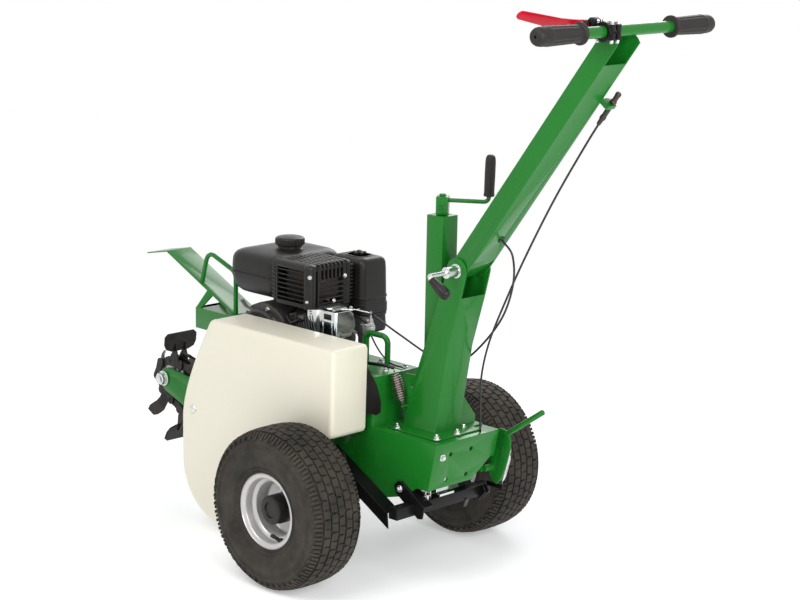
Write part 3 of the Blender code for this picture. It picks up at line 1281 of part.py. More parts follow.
def make_lever():
    """Clamp on the bar and the flat clutch lever that hinges on it."""
    y, z = BAR_AXIS
    bore = BAR_RADIUS + GAP
    px = LEVER_PIVOT[0]
    mesh = bmesh.new()
    low, high = CLAMP_X
    add_lathe(mesh, [(low, bore), (low, 0.019), (high, 0.019), (high, bore)], 16, at(BAR_AXIS, 0.0))
    joins = bmesh.new()
    add_box(joins, (low, high), (y - 0.009, y + 0.009), (z + 0.016, z + 0.028))
    block = [(-0.006, -0.009), (0.014, -0.009), (0.030, 0.002), (0.022, 0.010), (0.012, 0.009),
             (-0.006, 0.009)]
    add_prism(joins, [lever_point(*p) for p in block], low, high)
    add_disc(joins, (px, *lever_point(0.0, -0.0155)), (px, *lever_point(0.0, 0.0155)), 0.003, 10)
    part("lever_clamp", BLACK_PAINT, mesh, joins, pivot=at(HANDLE_PIVOT, 0.0))
    pin = Vector((0.0, *LEVER_AXIS)).normalized()
    frame = Matrix((UNIT_X, pin.cross(UNIT_X), pin)).transposed().to_4x4()
    place = Matrix.Translation(LEVER_PIVOT) @ frame
    end = LEVER_LENGTH
    blade = bmesh.new()
    side = [(-0.014, -0.0125), (0.080, -0.0125), (0.110, -0.004), (end - 0.010, 0.0085)]
    side += arc((end - 0.010, 0.0190), 0.0105, -60, 60, 4)
    side += [(end - 0.010, 0.0295), (0.100, 0.0200), (0.060, 0.0155), (-0.014, 0.0125)]
    add_prism(blade, side, -0.0118, -0.0088, "Y")
    bmesh.ops.bisect_plane(blade, geom=blade.verts[:] + blade.edges[:] + blade.faces[:],
                           plane_co=(0.020, 0.0, 0.0), plane_no=(1.0, 0.0, 0.0))
    for vert in blade.verts:
        vert.co.y -= 0.020 * max(0.0, (vert.co.x - 0.020) / (end - 0.020))
    ears = bmesh.new()
    ear = [(-0.012, -0.0100), (-0.008, 0.0040), (0.0, 0.0072), (0.008, 0.0040), (0.014, -0.0100)]
    add_prism(ears, ear, 0.0095, 0.0124, "Z")
    add_prism(ears, ear, -0.0124, -0.0095, "Z")
    hole = bmesh.new()
    add_disc(hole, (0.0, 0.0, -0.02), (0.0, 0.0, 0.02), bore_for(0.003, 10), 10)
    for work in (blade, ears, hole):
        bmesh.ops.transform(work, matrix=place, verts=work.verts)
    part("clutch_lever", RED_PAINT, blade, ears, hole, pivot=LEVER_PIVOT)


def make_clamp_lever():
    """The quick clamp through the arm's pivot, with its bent handle and knob."""
    pivot = at(HANDLE_PIVOT, 0.0)
    y, z = HANDLE_PIVOT
    start = -(COLUMN_HALF_WIDTH + 0.010)
    mesh = bmesh.new()
    add_disc(mesh, (start, y, z), (0.132, y, z), 0.006, 12)
    joins = bmesh.new()
    add_disc(joins, (start, y, z), (-(COLUMN_HALF_WIDTH + GAP), y, z), 0.011, 6)
    add_disc(joins, (COLUMN_HALF_WIDTH + GAP, y, z), (0.072, y, z), 0.011, 12)
    elbow = [(0.112, y, z), (0.132, y, z), (0.132, y + 0.030, z - 0.018)]
    add_rod(joins, rounded_path(elbow, 0.008, 3), 0.006)
    part("clamp_lever", ZINC, mesh, joins, pivot=pivot)
    knob = bmesh.new()
    way = Vector((0.0, 0.030, -0.018)).normalized()
    low = Vector((0.132, y, z)) + way * 0.013
    profile = [(0.0, 0.006 + GAP), (0.0, 0.009), (0.010, 0.010), (0.046, 0.013), (0.056, 0.011),
               (0.060, 0.006), (0.060, 0.0005), (0.024, 0.0005), (0.024, 0.006 + GAP)]
    add_lathe(knob, profile, 12, low, way)
    part("clamp_knob", BLACK_PLASTIC, knob, pivot=pivot)


def make_lock_lever():
    """Green plate lever on the right wall with its round rod."""
    pivot_y, pivot_z = 0.239, 0.251
    x_low, x_high = -0.134, -0.130
    outline = [(0.257, 0.212), (0.269, 0.224), (0.281, 0.252), (0.292, 0.291), (0.296, 0.306),
               (0.296, 0.326), (0.290, 0.341), (0.277, 0.350), (0.261, 0.350), (0.252, 0.340),
               (0.244, 0.300), (0.230, 0.270), (0.228, 0.245), (0.236, 0.226), (0.246, 0.214)]
    mesh = bmesh.new()
    add_prism(mesh, outline, x_low, x_high)
    joins = bmesh.new()
    add_rod(joins, [(-0.132, 0.280, 0.338), (-0.132, 0.391, 0.415)], 0.007)
    add_disc(joins, (-0.1332, pivot_y, pivot_z), (-(CHASSIS_HALF_WIDTH + GAP), pivot_y, pivot_z),
             0.008, 12)
    hook = (-0.132, *LOCK_HOOK)
    add_disc(joins, (-0.1335, hook[1], hook[2]), (-0.144, hook[1], hook[2]), 0.003, 8)
    pivot = (-0.132, pivot_y, pivot_z)
    part("lock_lever", GREEN, mesh, joins, pivot=pivot, smooth=False)


def coil(start, end, radius, turns, hook=0.006):
    """Points of one unbroken spring wire, with straight ends on its axis."""
    start, end = Vector(start), Vector(end)
    axis = (end - start).normalized()
    frame = turn_to(axis)
    length = (end - start).length
    body = length - 4 * hook
    points = [start, start + axis * hook]
    count = int(turns * CURL_POINTS)
    for k in range(count + 1):
        angle = 2 * math.pi * k / CURL_POINTS
        along = 2 * hook + body * k / count
        local = Vector((along, radius * math.cos(angle), radius * math.sin(angle)))
        points.append(start + frame @ local)
    points += [end - axis * hook, end]
    return points


def spring_gap(points, wire):
    """Least clear distance between turns of a spring, measured from its points."""
    least = 1.0
    for i, first in enumerate(points):
        for second in points[i + CURL_POINTS - 3:]:
            least = min(least, (first - second).length - 2 * wire)
    return least


def make_springs():
    clutch = coil((0.056, 0.094, 0.4889), (0.056, SPRING_STUD[0], SPRING_STUD[1] + 0.0035),
                  CLUTCH_SPRING_RADIUS, CLUTCH_SPRING_TURNS, 0.003)
    print("clutch spring gap mm", round(1000 * spring_gap(clutch, CLUTCH_WIRE_RADIUS), 3))
    mesh = bmesh.new()
    add_rod(mesh, clutch, CLUTCH_WIRE_RADIUS, 1)
    part("clutch_spring", ZINC, mesh, pivot=clutch[0])
    lock = coil((-0.1425, LOCK_HOOK[0], LOCK_HOOK[1] - 0.0035),
                (-0.1425, LOCK_ANCHOR[0], LOCK_ANCHOR[1] + 0.0025), LOCK_SPRING_RADIUS,
                LOCK_SPRING_TURNS, 0.004)
    print("lock spring gap mm", round(1000 * spring_gap(lock, WIRE_RADIUS), 3))
    mesh = bmesh.new()
    add_rod(mesh, lock, WIRE_RADIUS, 1)
    part("lock_spring", ZINC, mesh, pivot=lock[0])


def smooth_route(knots, step):
    """A smooth curve through a route's own points, as points about a step apart."""
    knots = [Vector(k) for k in knots]
    padded = [2 * knots[0] - knots[1]] + knots + [2 * knots[-1] - knots[-2]]
    dense = []
    for a, b, c, d in zip(padded, padded[1:], padded[2:], padded[3:]):
        count = max(2, int((c - b).length / step))
        for k in range(count):
            t = k / count
            dense.append(0.5 * (2 * b + (c - a) * t + (2 * a - 5 * b + 4 * c - d) * t * t
                                + (3 * b - a - 3 * c + d) * t ** 3))
    dense.append(knots[-1])
    return dense


def cable_routes():
    """The two control cables from the handle down to the machine."""
    half = ARM_DEPTH / 2
    clutch = [(CABLE_X, *arm_point(CABLE_LUG + 0.012, -half - CABLE_DROP)),
              (CABLE_X, *arm_point(CABLE_LUG, -half - CABLE_DROP)),
              (CABLE_X, *arm_point(CABLE_LUG - 0.012, -half - CABLE_DROP)),
              (-0.053, 0.555, 1.062), (-0.054, 0.470, 0.930), (-0.056, 0.390, 0.790),
              (-0.056, 0.335, 0.680), (-0.056, 0.290, 0.580), (-0.054, 0.270, 0.500),
              (-0.053, 0.268, 0.430), (-0.053, 0.2705, DECK_Z + GAP)]
    throttle = [(-0.010, *arm_point(THROTTLE_HOLE, -half + 0.008)),
                (-0.010, *arm_point(THROTTLE_HOLE, -half)),
                (-0.010, *arm_point(THROTTLE_HOLE, -half - 0.008)),
                (-0.014, 0.388, 0.795), (-0.022, 0.385, 0.730), (-0.034, 0.345, 0.645),
                (-0.046, 0.268, 0.560), (-0.050, 0.200, 0.512), (-0.053, 0.120, 0.505),
                (-0.050, 0.010, 0.540), (-0.0460, -0.0860, 0.576)]
    return clutch, throttle


def make_cable(name, route):
    mesh = bmesh.new()
    add_rod(mesh, smooth_route(route, 0.024), CABLE_RADIUS, 2)
    part(name, CABLE_BLACK, mesh, pivot=route[0])


def build():
    for name, side in (("left", 1), ("right", -1)):
        make_tyre("tyre_" + name, side)
        make_rim("rim_" + name, side)
        make_hub("hub_" + name, side)
        make_bearing("bearing_" + name, side)
    make_chassis()
    make_front_bracket()
    make_deflector()
    pins, pitch, big, small = chain_pins()
    print("chain pitch mm", round(1000 * pitch, 3), "sprocket", round(big, 4), "nose", round(small, 4))
    make_chain(pins)
    make_boom(big, small)
    make_nose_roller(small)
    make_drive_shaft(pins, big)
    make_belt("drive_belt", ENGINE_AXIS, ENGINE_PULLEY_RADIUS, JACKSHAFT_AXIS, JACK_BIG_RADIUS,
              INPUT_BELT_X)
    make_belt("final_belt", JACKSHAFT_AXIS, JACK_SMALL_RADIUS, DRIVE_AXIS, DRIVEN_RADIUS,
              FINAL_BELT_X)
    make_engine_pulley()
    make_jackshaft()
    make_driven_pulley()
    make_idler()
    make_guard()
    make_backplate()
    make_crankcase()
    make_cylinder()
    make_rocker_cover()
    make_head_shield()
    make_muffler()
    make_muffler_guard()
    make_fan_cover()
    make_recoil_grip()
    make_tank()
    make_fuel_cap()
    make_air_cleaner()
    make_carburettor()
    make_throttle_lever()
    make_hoop()
    make_column()
    make_jack()
    make_crank()
    make_carriage()
    make_handle_arm()
    make_bar()
    make_lever()
    make_clamp_lever()
    make_lock_lever()
    make_springs()
    clutch, throttle = cable_routes()
    make_cable("clutch_cable", clutch)
    make_cable("throttle_cable", throttle)


build()
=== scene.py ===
# %% [markdown]
# A walk-behind trencher dressed over its CAD frame.
# The frame brings closed solids with their joints. This lesson gives them real edges, treads,
# fins, cables, fasteners and finishes, one piece at a time, and most pieces ride on a body.

import json
import math

import bmesh
import bpy
from mathutils import Matrix, Vector


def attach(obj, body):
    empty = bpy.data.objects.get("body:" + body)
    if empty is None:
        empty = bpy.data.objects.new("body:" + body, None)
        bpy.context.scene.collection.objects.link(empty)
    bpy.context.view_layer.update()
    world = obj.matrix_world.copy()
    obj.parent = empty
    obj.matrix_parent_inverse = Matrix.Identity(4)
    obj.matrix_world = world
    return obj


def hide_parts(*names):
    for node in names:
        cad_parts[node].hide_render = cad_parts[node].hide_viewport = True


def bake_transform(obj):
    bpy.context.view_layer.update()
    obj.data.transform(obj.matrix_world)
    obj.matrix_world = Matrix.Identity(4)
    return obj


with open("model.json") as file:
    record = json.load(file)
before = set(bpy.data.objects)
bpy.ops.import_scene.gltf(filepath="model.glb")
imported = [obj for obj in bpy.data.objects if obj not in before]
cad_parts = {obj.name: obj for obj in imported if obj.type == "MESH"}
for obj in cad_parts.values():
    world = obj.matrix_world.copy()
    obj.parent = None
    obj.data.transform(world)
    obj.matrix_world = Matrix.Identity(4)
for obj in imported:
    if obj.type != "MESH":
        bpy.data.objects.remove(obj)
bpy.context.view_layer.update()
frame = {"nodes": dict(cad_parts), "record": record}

# %% [markdown]
# The machine was measured from the ground point midway between its wheels. The frame stands
# that point a little behind the origin. Shifting every number by hand would invite slips, so one
# helper turns measured places into frame places. The main directions get names.

# %% Places on the machine
AXLE_Y = 0.08846


def spot(x, y, z):
    """A place in the frame from one measured on the machine."""
    return Vector((x, y + AXLE_Y, z))


LEFT, REAR, UP, DOWN = (1.0, 0.0, 0.0), (0.0, 1.0, 0.0), (0.0, 0.0, 1.0), (0.0, 0.0, -1.0)
print("rear deck edge at", tuple(round(v, 3) for v in spot(0.0, 0.282, 0.357)))

# %% [markdown]
# The camera stands behind the machine on the operator's left, a little above the deck. It could
# be aimed at a target, but it was solved from the wheels, the deck and the handle and has a
# slight roll, so its axes are written down and become its matrix.

# %% Camera
CAMERA_AT = spot(3.36834, 3.37912, 1.68658)
CAMERA_RIGHT = Vector((-0.70537, 0.70859, 0.01872))
CAMERA_UP = Vector((-0.13999, -0.16515, 0.97628))
FOCAL_PIXELS, PICTURE_PIXELS, SENSOR_WIDTH = 2072.55, 800, 36.0
camera_data = bpy.data.cameras.new("studio_camera")
camera_data.sensor_width = SENSOR_WIDTH
camera_data.lens = FOCAL_PIXELS / PICTURE_PIXELS * SENSOR_WIDTH
camera_data.clip_end = 50.0
camera = bpy.data.objects.new("studio_camera", camera_data)
back = CAMERA_RIGHT.cross(CAMERA_UP).normalized()
turn = Matrix((CAMERA_RIGHT.normalized(), back.cross(CAMERA_RIGHT).normalized(), back)).transposed()
camera.matrix_world = Matrix.Translation(CAMERA_AT) @ turn.to_4x4()
bpy.context.scene.collection.objects.link(camera)
bpy.context.scene.camera = camera
bpy.context.scene.view_settings.view_transform = "Standard"
print("lens", round(camera_data.lens, 2), "mm")

# %% [markdown]
# A pale studio. The world could simply be bright all over, but that would wash the colours out.
# The Light Path node shows pure white to the camera and in reflections, while the surfaces get a
# softer and slightly cool light, so paint renders about as its colour is written.

# %% World
world = bpy.data.worlds.new("studio")
bpy.context.scene.world = world
world.use_nodes = True
nodes, links = world.node_tree.nodes, world.node_tree.links
nodes.clear()
out = nodes.new("ShaderNodeOutputWorld")
ambient = nodes.new("ShaderNodeBackground")
ambient.inputs["Color"].default_value = (0.93, 0.96, 1.0, 1.0)
ambient.inputs["Strength"].default_value = 0.44
white = nodes.new("ShaderNodeBackground")
white.inputs["Color"].default_value = (1.0, 1.0, 1.0, 1.0)
white.inputs["Strength"].default_value = 1.0
path = nodes.new("ShaderNodeLightPath")
seen = path.outputs["Is Camera Ray"]
for ray in ("Is Glossy Ray", "Is Transmission Ray"):
    either = nodes.new("ShaderNodeMath")
    either.operation = "MAXIMUM"
    links.new(seen, either.inputs[0])
    links.new(path.outputs[ray], either.inputs[1])
    seen = either.outputs[0]
mix = nodes.new("ShaderNodeMixShader")
links.new(seen, mix.inputs["Fac"])
links.new(ambient.outputs[0], mix.inputs[1])
links.new(white.outputs[0], mix.inputs[2])
links.new(mix.outputs[0], out.inputs["Surface"])
print("world nodes", len(nodes))

# %% [markdown]
# Product pictures are lit by large soft boxes. Point lamps would give hard shadows and pinprick
# highlights, so wide area lamps do it: one from the upper left models the forms, one from behind
# the camera opens the shade, and one on the far side draws a rim along the edges.

# %% Lamps
def add_lamp(name, place, target, size, watts):
    """A rectangular area lamp that looks at a target."""
    data = bpy.data.lights.new(name, "AREA")
    data.shape = "RECTANGLE"
    data.size, data.size_y = size
    data.energy = watts
    lamp = bpy.data.objects.new(name, data)
    lamp.location = place
    lamp.rotation_euler = (Vector(target) - Vector(place)).to_track_quat("-Z", "Y").to_euler()
    bpy.context.scene.collection.objects.link(lamp)


add_lamp("key_lamp", (2.6, 0.2, 3.4), (0.0, 0.0, 0.5), (2.4, 2.4), 62)
add_lamp("fill_lamp", (1.2, 3.6, 2.2), (0.0, 0.0, 0.5), (2.6, 2.0), 84)
add_lamp("rim_lamp", (-3.0, -1.4, 2.6), (0.0, 0.0, 0.6), (2.0, 2.0), 45)

# %% [markdown]
# The floor has to vanish into the white and still carry a soft shadow. More light would burn
# the machine out, so the sheet glows faintly by itself and fades into plain white emission
# farther out, where no shadow falls.

# %% Floor
FLOOR_SIZE, FLOOR_DROP = 40.0, 0.0006
FADE_FROM, FADE_TO = 1.3, 3.2
floor_mesh = bpy.data.meshes.new("studio_floor")
bm = bmesh.new()
bmesh.ops.create_grid(bm, x_segments=1, y_segments=1, size=FLOOR_SIZE)
bmesh.ops.translate(bm, verts=bm.verts, vec=(0.0, 0.0, -FLOOR_DROP))
bm.to_mesh(floor_mesh)
bm.free()
floor = bpy.data.objects.new("studio_floor", floor_mesh)
bpy.context.scene.collection.objects.link(floor)
floor_mat = bpy.data.materials.new("studio_floor")
floor_mat.use_nodes = True
shader = floor_mat.node_tree.nodes["Principled BSDF"]
shader.inputs["Base Color"].default_value = (0.95, 0.95, 0.95, 1.0)
shader.inputs["Roughness"].default_value = 0.85
shader.inputs["Specular IOR Level"].default_value = 0.0
shader.inputs["Emission Color"].default_value = (1.0, 1.0, 1.0, 1.0)
shader.inputs["Emission Strength"].default_value = 0.34
nodes, links = floor_mat.node_tree.nodes, floor_mat.node_tree.links
place = nodes.new("ShaderNodeTexCoord")
reach = nodes.new("ShaderNodeVectorMath")
reach.operation = "LENGTH"
links.new(place.outputs["Object"], reach.inputs[0])
fade = nodes.new("ShaderNodeMapRange")
fade.interpolation_type = "SMOOTHSTEP"
fade.inputs["From Min"].default_value = FADE_FROM
fade.inputs["From Max"].default_value = FADE_TO
links.new(reach.outputs["Value"], fade.inputs["Value"])
glow = nodes.new("ShaderNodeEmission")
mix = nodes.new("ShaderNodeMixShader")
links.new(fade.outputs["Result"], mix.inputs["Fac"])
links.new(shader.outputs[0], mix.inputs[1])
links.new(glow.outputs[0], mix.inputs[2])
links.new(mix.outputs[0], nodes["Material Output"].inputs["Surface"])
floor_mesh.materials.append(floor_mat)
print("floor fades to white from", FADE_FROM, "to", FADE_TO, "m")

# %% [markdown]
# No surface on a used machine has one flat colour. Each finish could be drawn by hand in the
# node editor, but they share one recipe: a base colour drifting to a second one through a soft
# noise, a roughness that shifts with it, and a fine bump. One function builds it from Object
# coordinates, so nothing has to be unwrapped, and every finish is a few numbers.

# %% A finish maker
def make_finish(name, colour, roughness, metallic=0.0, coat=0.0, tint=None, tint_scale=9.0,
                tint_amount=0.35, grain=600.0, bump=0.05, rough_shift=0.08, specular=0.5):
    """A Principled material whose colour, roughness and grain vary over the piece."""
    mat = bpy.data.materials.new(name)
    mat.use_nodes = True
    nodes, links = mat.node_tree.nodes, mat.node_tree.links
    shader = nodes["Principled BSDF"]
    shader.inputs["Metallic"].default_value = metallic
    shader.inputs["Coat Weight"].default_value = coat
    shader.inputs["Coat Roughness"].default_value = 0.06
    shader.inputs["Specular IOR Level"].default_value = specular
    place = nodes.new("ShaderNodeTexCoord")
    cloud = nodes.new("ShaderNodeTexNoise")
    cloud.inputs["Scale"].default_value = tint_scale
    cloud.inputs["Detail"].default_value = 5.0
    cloud.inputs["Roughness"].default_value = 0.62
    links.new(place.outputs["Object"], cloud.inputs["Vector"])
    ramp = nodes.new("ShaderNodeValToRGB")
    ramp.color_ramp.elements[0].position = 0.36
    ramp.color_ramp.elements[1].position = 0.72
    ramp.color_ramp.elements[0].color = (*colour, 1.0)
    other = tint if tint is not None else tuple(c * 1.15 for c in colour)
    blended = tuple(c + (o - c) * tint_amount for c, o in zip(colour, other))
    ramp.color_ramp.elements[1].color = (*blended, 1.0)
    links.new(cloud.outputs["Fac"], ramp.inputs["Fac"])
    links.new(ramp.outputs["Color"], shader.inputs["Base Color"])
    spread = nodes.new("ShaderNodeMapRange")
    spread.inputs["To Min"].default_value = max(roughness - rough_shift, 0.03)
    spread.inputs["To Max"].default_value = min(roughness + rough_shift, 1.0)
    links.new(cloud.outputs["Fac"], spread.inputs["Value"])
    links.new(spread.outputs["Result"], shader.inputs["Roughness"])
    fine = nodes.new("ShaderNodeTexNoise")
    fine.inputs["Scale"].default_value = grain
    fine.inputs["Detail"].default_value = 3.0
    links.new(place.outputs["Object"], fine.inputs["Vector"])
    lift = nodes.new("ShaderNodeBump")
    lift.inputs["Strength"].default_value = bump
    lift.inputs["Distance"].default_value = 0.0006
    links.new(fine.outputs["Fac"], lift.inputs["Height"])
    links.new(lift.outputs["Normal"], shader.inputs["Normal"])
    return mat


print("one recipe for every finish")

# %% [markdown]
# Sprayed enamel has depth: a thin clear coat over a dark saturated base gives the soft sheen on
# the green steel. The cream guard is powder coated, so it is duller and faintly pebbled, and the
# rims carry a silver paint with flakes, halfway between paint and metal.

# %% Paints
GREEN = make_finish("green_gloss_paint", (0.008, 0.160, 0.014), 0.28, coat=0.20,
                    tint=(0.014, 0.190, 0.022), tint_scale=5.0, grain=260.0, bump=0.04,
                    rough_shift=0.05, specular=0.20)
CREAM = make_finish("cream_powder_coat", (0.80, 0.755, 0.62), 0.38, coat=0.15,
                    tint=(0.77, 0.72, 0.575), tint_scale=4.0, grain=320.0, bump=0.06)
BLACK = make_finish("black_frame_paint", (0.004, 0.004, 0.004), 0.36, coat=0.05,
                    tint=(0.014, 0.013, 0.012), tint_scale=14.0, grain=400.0, bump=0.08,
                    specular=0.18)
SILVER = make_finish("silver_rim_paint", (0.56, 0.55, 0.535), 0.34, metallic=0.55, coat=0.25,
                     tint=(0.44, 0.42, 0.40), tint_scale=12.0, grain=700.0, bump=0.06)
RED = make_finish("red_lever_paint", (0.56, 0.006, 0.024), 0.30, coat=0.10,
                  tint=(0.46, 0.005, 0.018), tint_scale=20.0, grain=500.0, bump=0.04,
                  specular=0.16)
print("paints", 5)

# %% [markdown]
# Rubber and moulded plastic are never pure black. Their bases are nearly so, with no coat and a
# low specular, and a pale tint at the scale of a thumb stands for the dust that settles on them.

# %% Rubbers and plastics
RUBBER = make_finish("tyre_rubber_dusty", (0.020, 0.018, 0.015), 0.70,
                     tint=(0.075, 0.062, 0.048), tint_scale=17.0, tint_amount=0.75, grain=450.0,
                     bump=0.22, rough_shift=0.10, specular=0.25)
GRIP = make_finish("grip_rubber", (0.020, 0.018, 0.017), 0.50, tint=(0.045, 0.040, 0.036),
                   tint_scale=30.0, grain=900.0, bump=0.12, specular=0.25)
PLASTIC = make_finish("moulded_black_plastic", (0.011, 0.010, 0.009), 0.36,
                      tint=(0.024, 0.021, 0.019), tint_scale=22.0, grain=1300.0, bump=0.16,
                      specular=0.30)
BELT = make_finish("belt_rubber", (0.016, 0.016, 0.017), 0.66, grain=800.0, bump=0.12)
CABLE = make_finish("cable_sheath", (0.008, 0.008, 0.009), 0.40, grain=900.0, bump=0.05)
print("rubbers and plastics", 5)

# %% [markdown]
# The bright parts differ most in roughness: plated sheet is a near mirror, turned steel is
# satin, and castings are rough with a strong bump. Oiled chain and the muffler can are dark
# metals with a brownish tint, because rust and burnt oil gather there.

# %% Metals
ZINC = make_finish("zinc_plated_steel", (0.66, 0.68, 0.70), 0.26, metallic=1.0,
                   tint=(0.72, 0.66, 0.52), tint_scale=26.0, tint_amount=0.4, grain=900.0,
                   bump=0.06)
CAST = make_finish("cast_aluminium", (0.44, 0.44, 0.43), 0.46, metallic=0.85,
                   tint=(0.30, 0.29, 0.28), tint_scale=30.0, tint_amount=0.6, grain=520.0,
                   bump=0.30)
STEEL = make_finish("machined_steel", (0.42, 0.42, 0.43), 0.34, metallic=1.0,
                    tint=(0.30, 0.27, 0.24), tint_scale=24.0, grain=800.0, bump=0.08)
CHAIN = make_finish("oiled_black_steel", (0.012, 0.011, 0.010), 0.36, metallic=0.35, coat=0.05,
                    tint=(0.055, 0.044, 0.036), tint_scale=40.0, tint_amount=0.7, grain=700.0,
                    bump=0.14, specular=0.25)
SPRING = make_finish("dull_spring_steel", (0.30, 0.27, 0.24), 0.36, metallic=1.0,
                     tint=(0.16, 0.11, 0.08), tint_scale=60.0, tint_amount=0.7, grain=800.0,
                     bump=0.10)
CASTING_DARK = make_finish("dark_cylinder_casting", (0.045, 0.043, 0.040), 0.46, metallic=0.5,
                           tint=(0.12, 0.115, 0.11), tint_scale=26.0, grain=500.0, bump=0.3)
CAN_STEEL = make_finish("muffler_can_steel", (0.060, 0.055, 0.050), 0.50, metallic=0.8,
                        tint=(0.110, 0.070, 0.045), tint_scale=28.0, tint_amount=0.6, grain=600.0,
                        bump=0.20)
COVER_CAST = make_finish("cover_casting", (0.33, 0.34, 0.30), 0.42, metallic=0.6,
                         tint=(0.22, 0.23, 0.19), tint_scale=48.0, tint_amount=0.7, grain=340.0,
                         bump=0.45)
CHROME = make_finish("bright_plated_sheet", (0.80, 0.84, 0.88), 0.14, metallic=1.0,
                     tint=(0.66, 0.72, 0.80), tint_scale=14.0, grain=500.0, bump=0.03,
                     rough_shift=0.05)
print("metals", 9)

# %% [markdown]
# The CAD solids keep their shape and take these finishes through their own slots, so even a
# pulley that hardly shows behind the guard is rubber, steel or paint. The record says which slot
# each node has, and which body it moves with.

# %% Finishes on the CAD nodes
NODE_FINISH = {
    "green_paint": GREEN, "black_paint": BLACK, "cream_paint": CREAM, "tyre_rubber": RUBBER,
    "grip_rubber": GRIP, "silver_paint": SILVER, "black_plastic": PLASTIC, "red_paint": RED,
    "zinc_plate": ZINC, "cast_aluminium": CAST, "steel": STEEL, "chain_steel": CHAIN,
    "belt_rubber": BELT, "cable_black": CABLE}
SLOT_OF = {s["node"]: s["material_slot"] for s in frame["record"]["subparts"]}
BODY_OF = {n: b for b, ns in frame["record"]["behaviour"]["bodies"].items() for n in ns}
for node_name, node in frame["nodes"].items():
    finish = NODE_FINISH[SLOT_OF[node_name]]
    if node.data.materials:
        node.data.materials[0] = finish
    else:
        node.data.materials.append(finish)
print("dressed", len(frame["nodes"]), "nodes")

# %% [markdown]
# Most brackets are cut sheet. A slab starts from one face and is extruded by a step, and a plate
# is the same thing drawn as an outline across an axis. A Solidify modifier could thicken a sheet
# too, but a pushed face gives both sides at once and returns the vertices it made.

# %% Plates
def outward(bm, faces):
    """Turns the normals of closed faces outward."""
    bmesh.ops.recalc_face_normals(bm, faces=faces)


def faces_of(verts):
    """Every face that touches some vertices, once each and in the same order every run."""
    return list(dict.fromkeys(f for v in verts for f in v.link_faces))


def since(bm, before):
    """The vertices made after a set of them was noted."""
    return [v for v in bm.verts if v not in before]


def slab(bm, corners, step):
    """A face from its corners, pushed by one step; returns its vertices."""
    verts = [bm.verts.new(c) for c in corners]
    face = bm.faces.new(verts)
    grown = bmesh.ops.extrude_face_region(bm, geom=[face])["geom"]
    moved = [g for g in grown if isinstance(g, bmesh.types.BMVert)]
    bmesh.ops.translate(bm, verts=moved, vec=step)
    outward(bm, faces_of(verts + moved))
    return verts + moved


def plate(bm, outline, low, high, axis="X"):
    """An outline drawn across an axis and pushed along it; returns its vertices."""
    def point(a, b, along):
        return {"X": (along, a, b), "Y": (a, along, b), "Z": (a, b, along)}[axis]
    step = Vector(point(0.0, 0.0, high)) - Vector(point(0.0, 0.0, low))
    return slab(bm, [point(a, b, low) for a, b in outline], step)


print("slab and plate ready")

# %% [markdown]
# Lugs and housings start as boxes. Their edges are then rolled a little, because on real steel
# light catches a bend and never a knife edge. A Bevel modifier would roll the whole mesh alike,
# so this helper takes only some vertices, each part with a width of its own.

# %% Blocks and rolled edges
def block(bm, x_range, y_range, z_range):
    """A box between three pairs of limits; returns its vertices."""
    size = [b - a for a, b in (x_range, y_range, z_range)]
    middle = [(a + b) / 2 for a, b in (x_range, y_range, z_range)]
    place = Matrix.Translation(middle) @ Matrix.Diagonal((*size, 1.0))
    return bmesh.ops.create_cube(bm, size=1.0, matrix=place)["verts"]


def soften(bm, verts, width, segments=2, least_angle=30.0):
    """Rolls the sharp edges among some vertices."""
    chosen = set(verts)
    near = dict.fromkeys(e for v in verts for e in v.link_edges)
    edges = [e for e in near if e.verts[0] in chosen and e.verts[1] in chosen
             and len(e.link_faces) == 2 and e.calc_face_angle(0.0) > math.radians(least_angle)]
    bmesh.ops.bevel(bm, geom=edges, offset=width, offset_type="OFFSET", segments=segments,
                    profile=0.5, affect="EDGES", clamp_overlap=True, material=-1)


print("block and soften ready")

# %% [markdown]
# Shafts, nuts, rims and knobs come off a lathe, so they are spun here from a profile of steps
# along and away from the axis. A plain round bar needs no profile: it is a cylinder between two
# places.

# %% Turned shapes
def aim(direction):
    """The rotation that lays the X axis along a direction."""
    return Vector((1.0, 0.0, 0.0)).rotation_difference(Vector(direction)).to_matrix().to_4x4()


def turned(bm, profile, steps, centre, direction=LEFT):
    """A profile of (along, radius) points spun about a line; returns its vertices."""
    before = set(bm.verts)
    verts = [bm.verts.new((a, r, 0.0)) for a, r in profile]
    edges = [bm.edges.new((verts[i - 1], verts[i])) for i in range(len(verts))]
    bmesh.ops.spin(bm, geom=verts + edges, cent=(0, 0, 0), axis=(1, 0, 0), angle=2 * math.pi,
                   steps=steps, use_merge=True)
    bmesh.ops.remove_doubles(bm, verts=since(bm, before), dist=1e-6)
    made = since(bm, before)
    outward(bm, faces_of(made))
    bmesh.ops.transform(bm, matrix=Matrix.Translation(centre) @ aim(direction), verts=made)
    return made


def bar(bm, start, end, radius, steps=24):
    """A solid round bar between two places."""
    start, end = Vector(start), Vector(end)
    length = (end - start).length
    before = set(bm.verts)
    bmesh.ops.create_cone(bm, cap_ends=True, segments=steps, radius1=radius, radius2=radius,
                          depth=length)
    made = since(bm, before)
    tilt = Vector((0, 0, 1)).rotation_difference(end - start).to_matrix().to_4x4()
    bmesh.ops.transform(bm, matrix=Matrix.Translation((start + end) / 2) @ tilt, verts=made)


print("turned and bar ready")

# %% [markdown]
# Wires and tubes are swept by a bevelled curve, which keeps its section round in every bend and
# would be tedious to build ring by ring. The curve becomes mesh at once and is then removed.

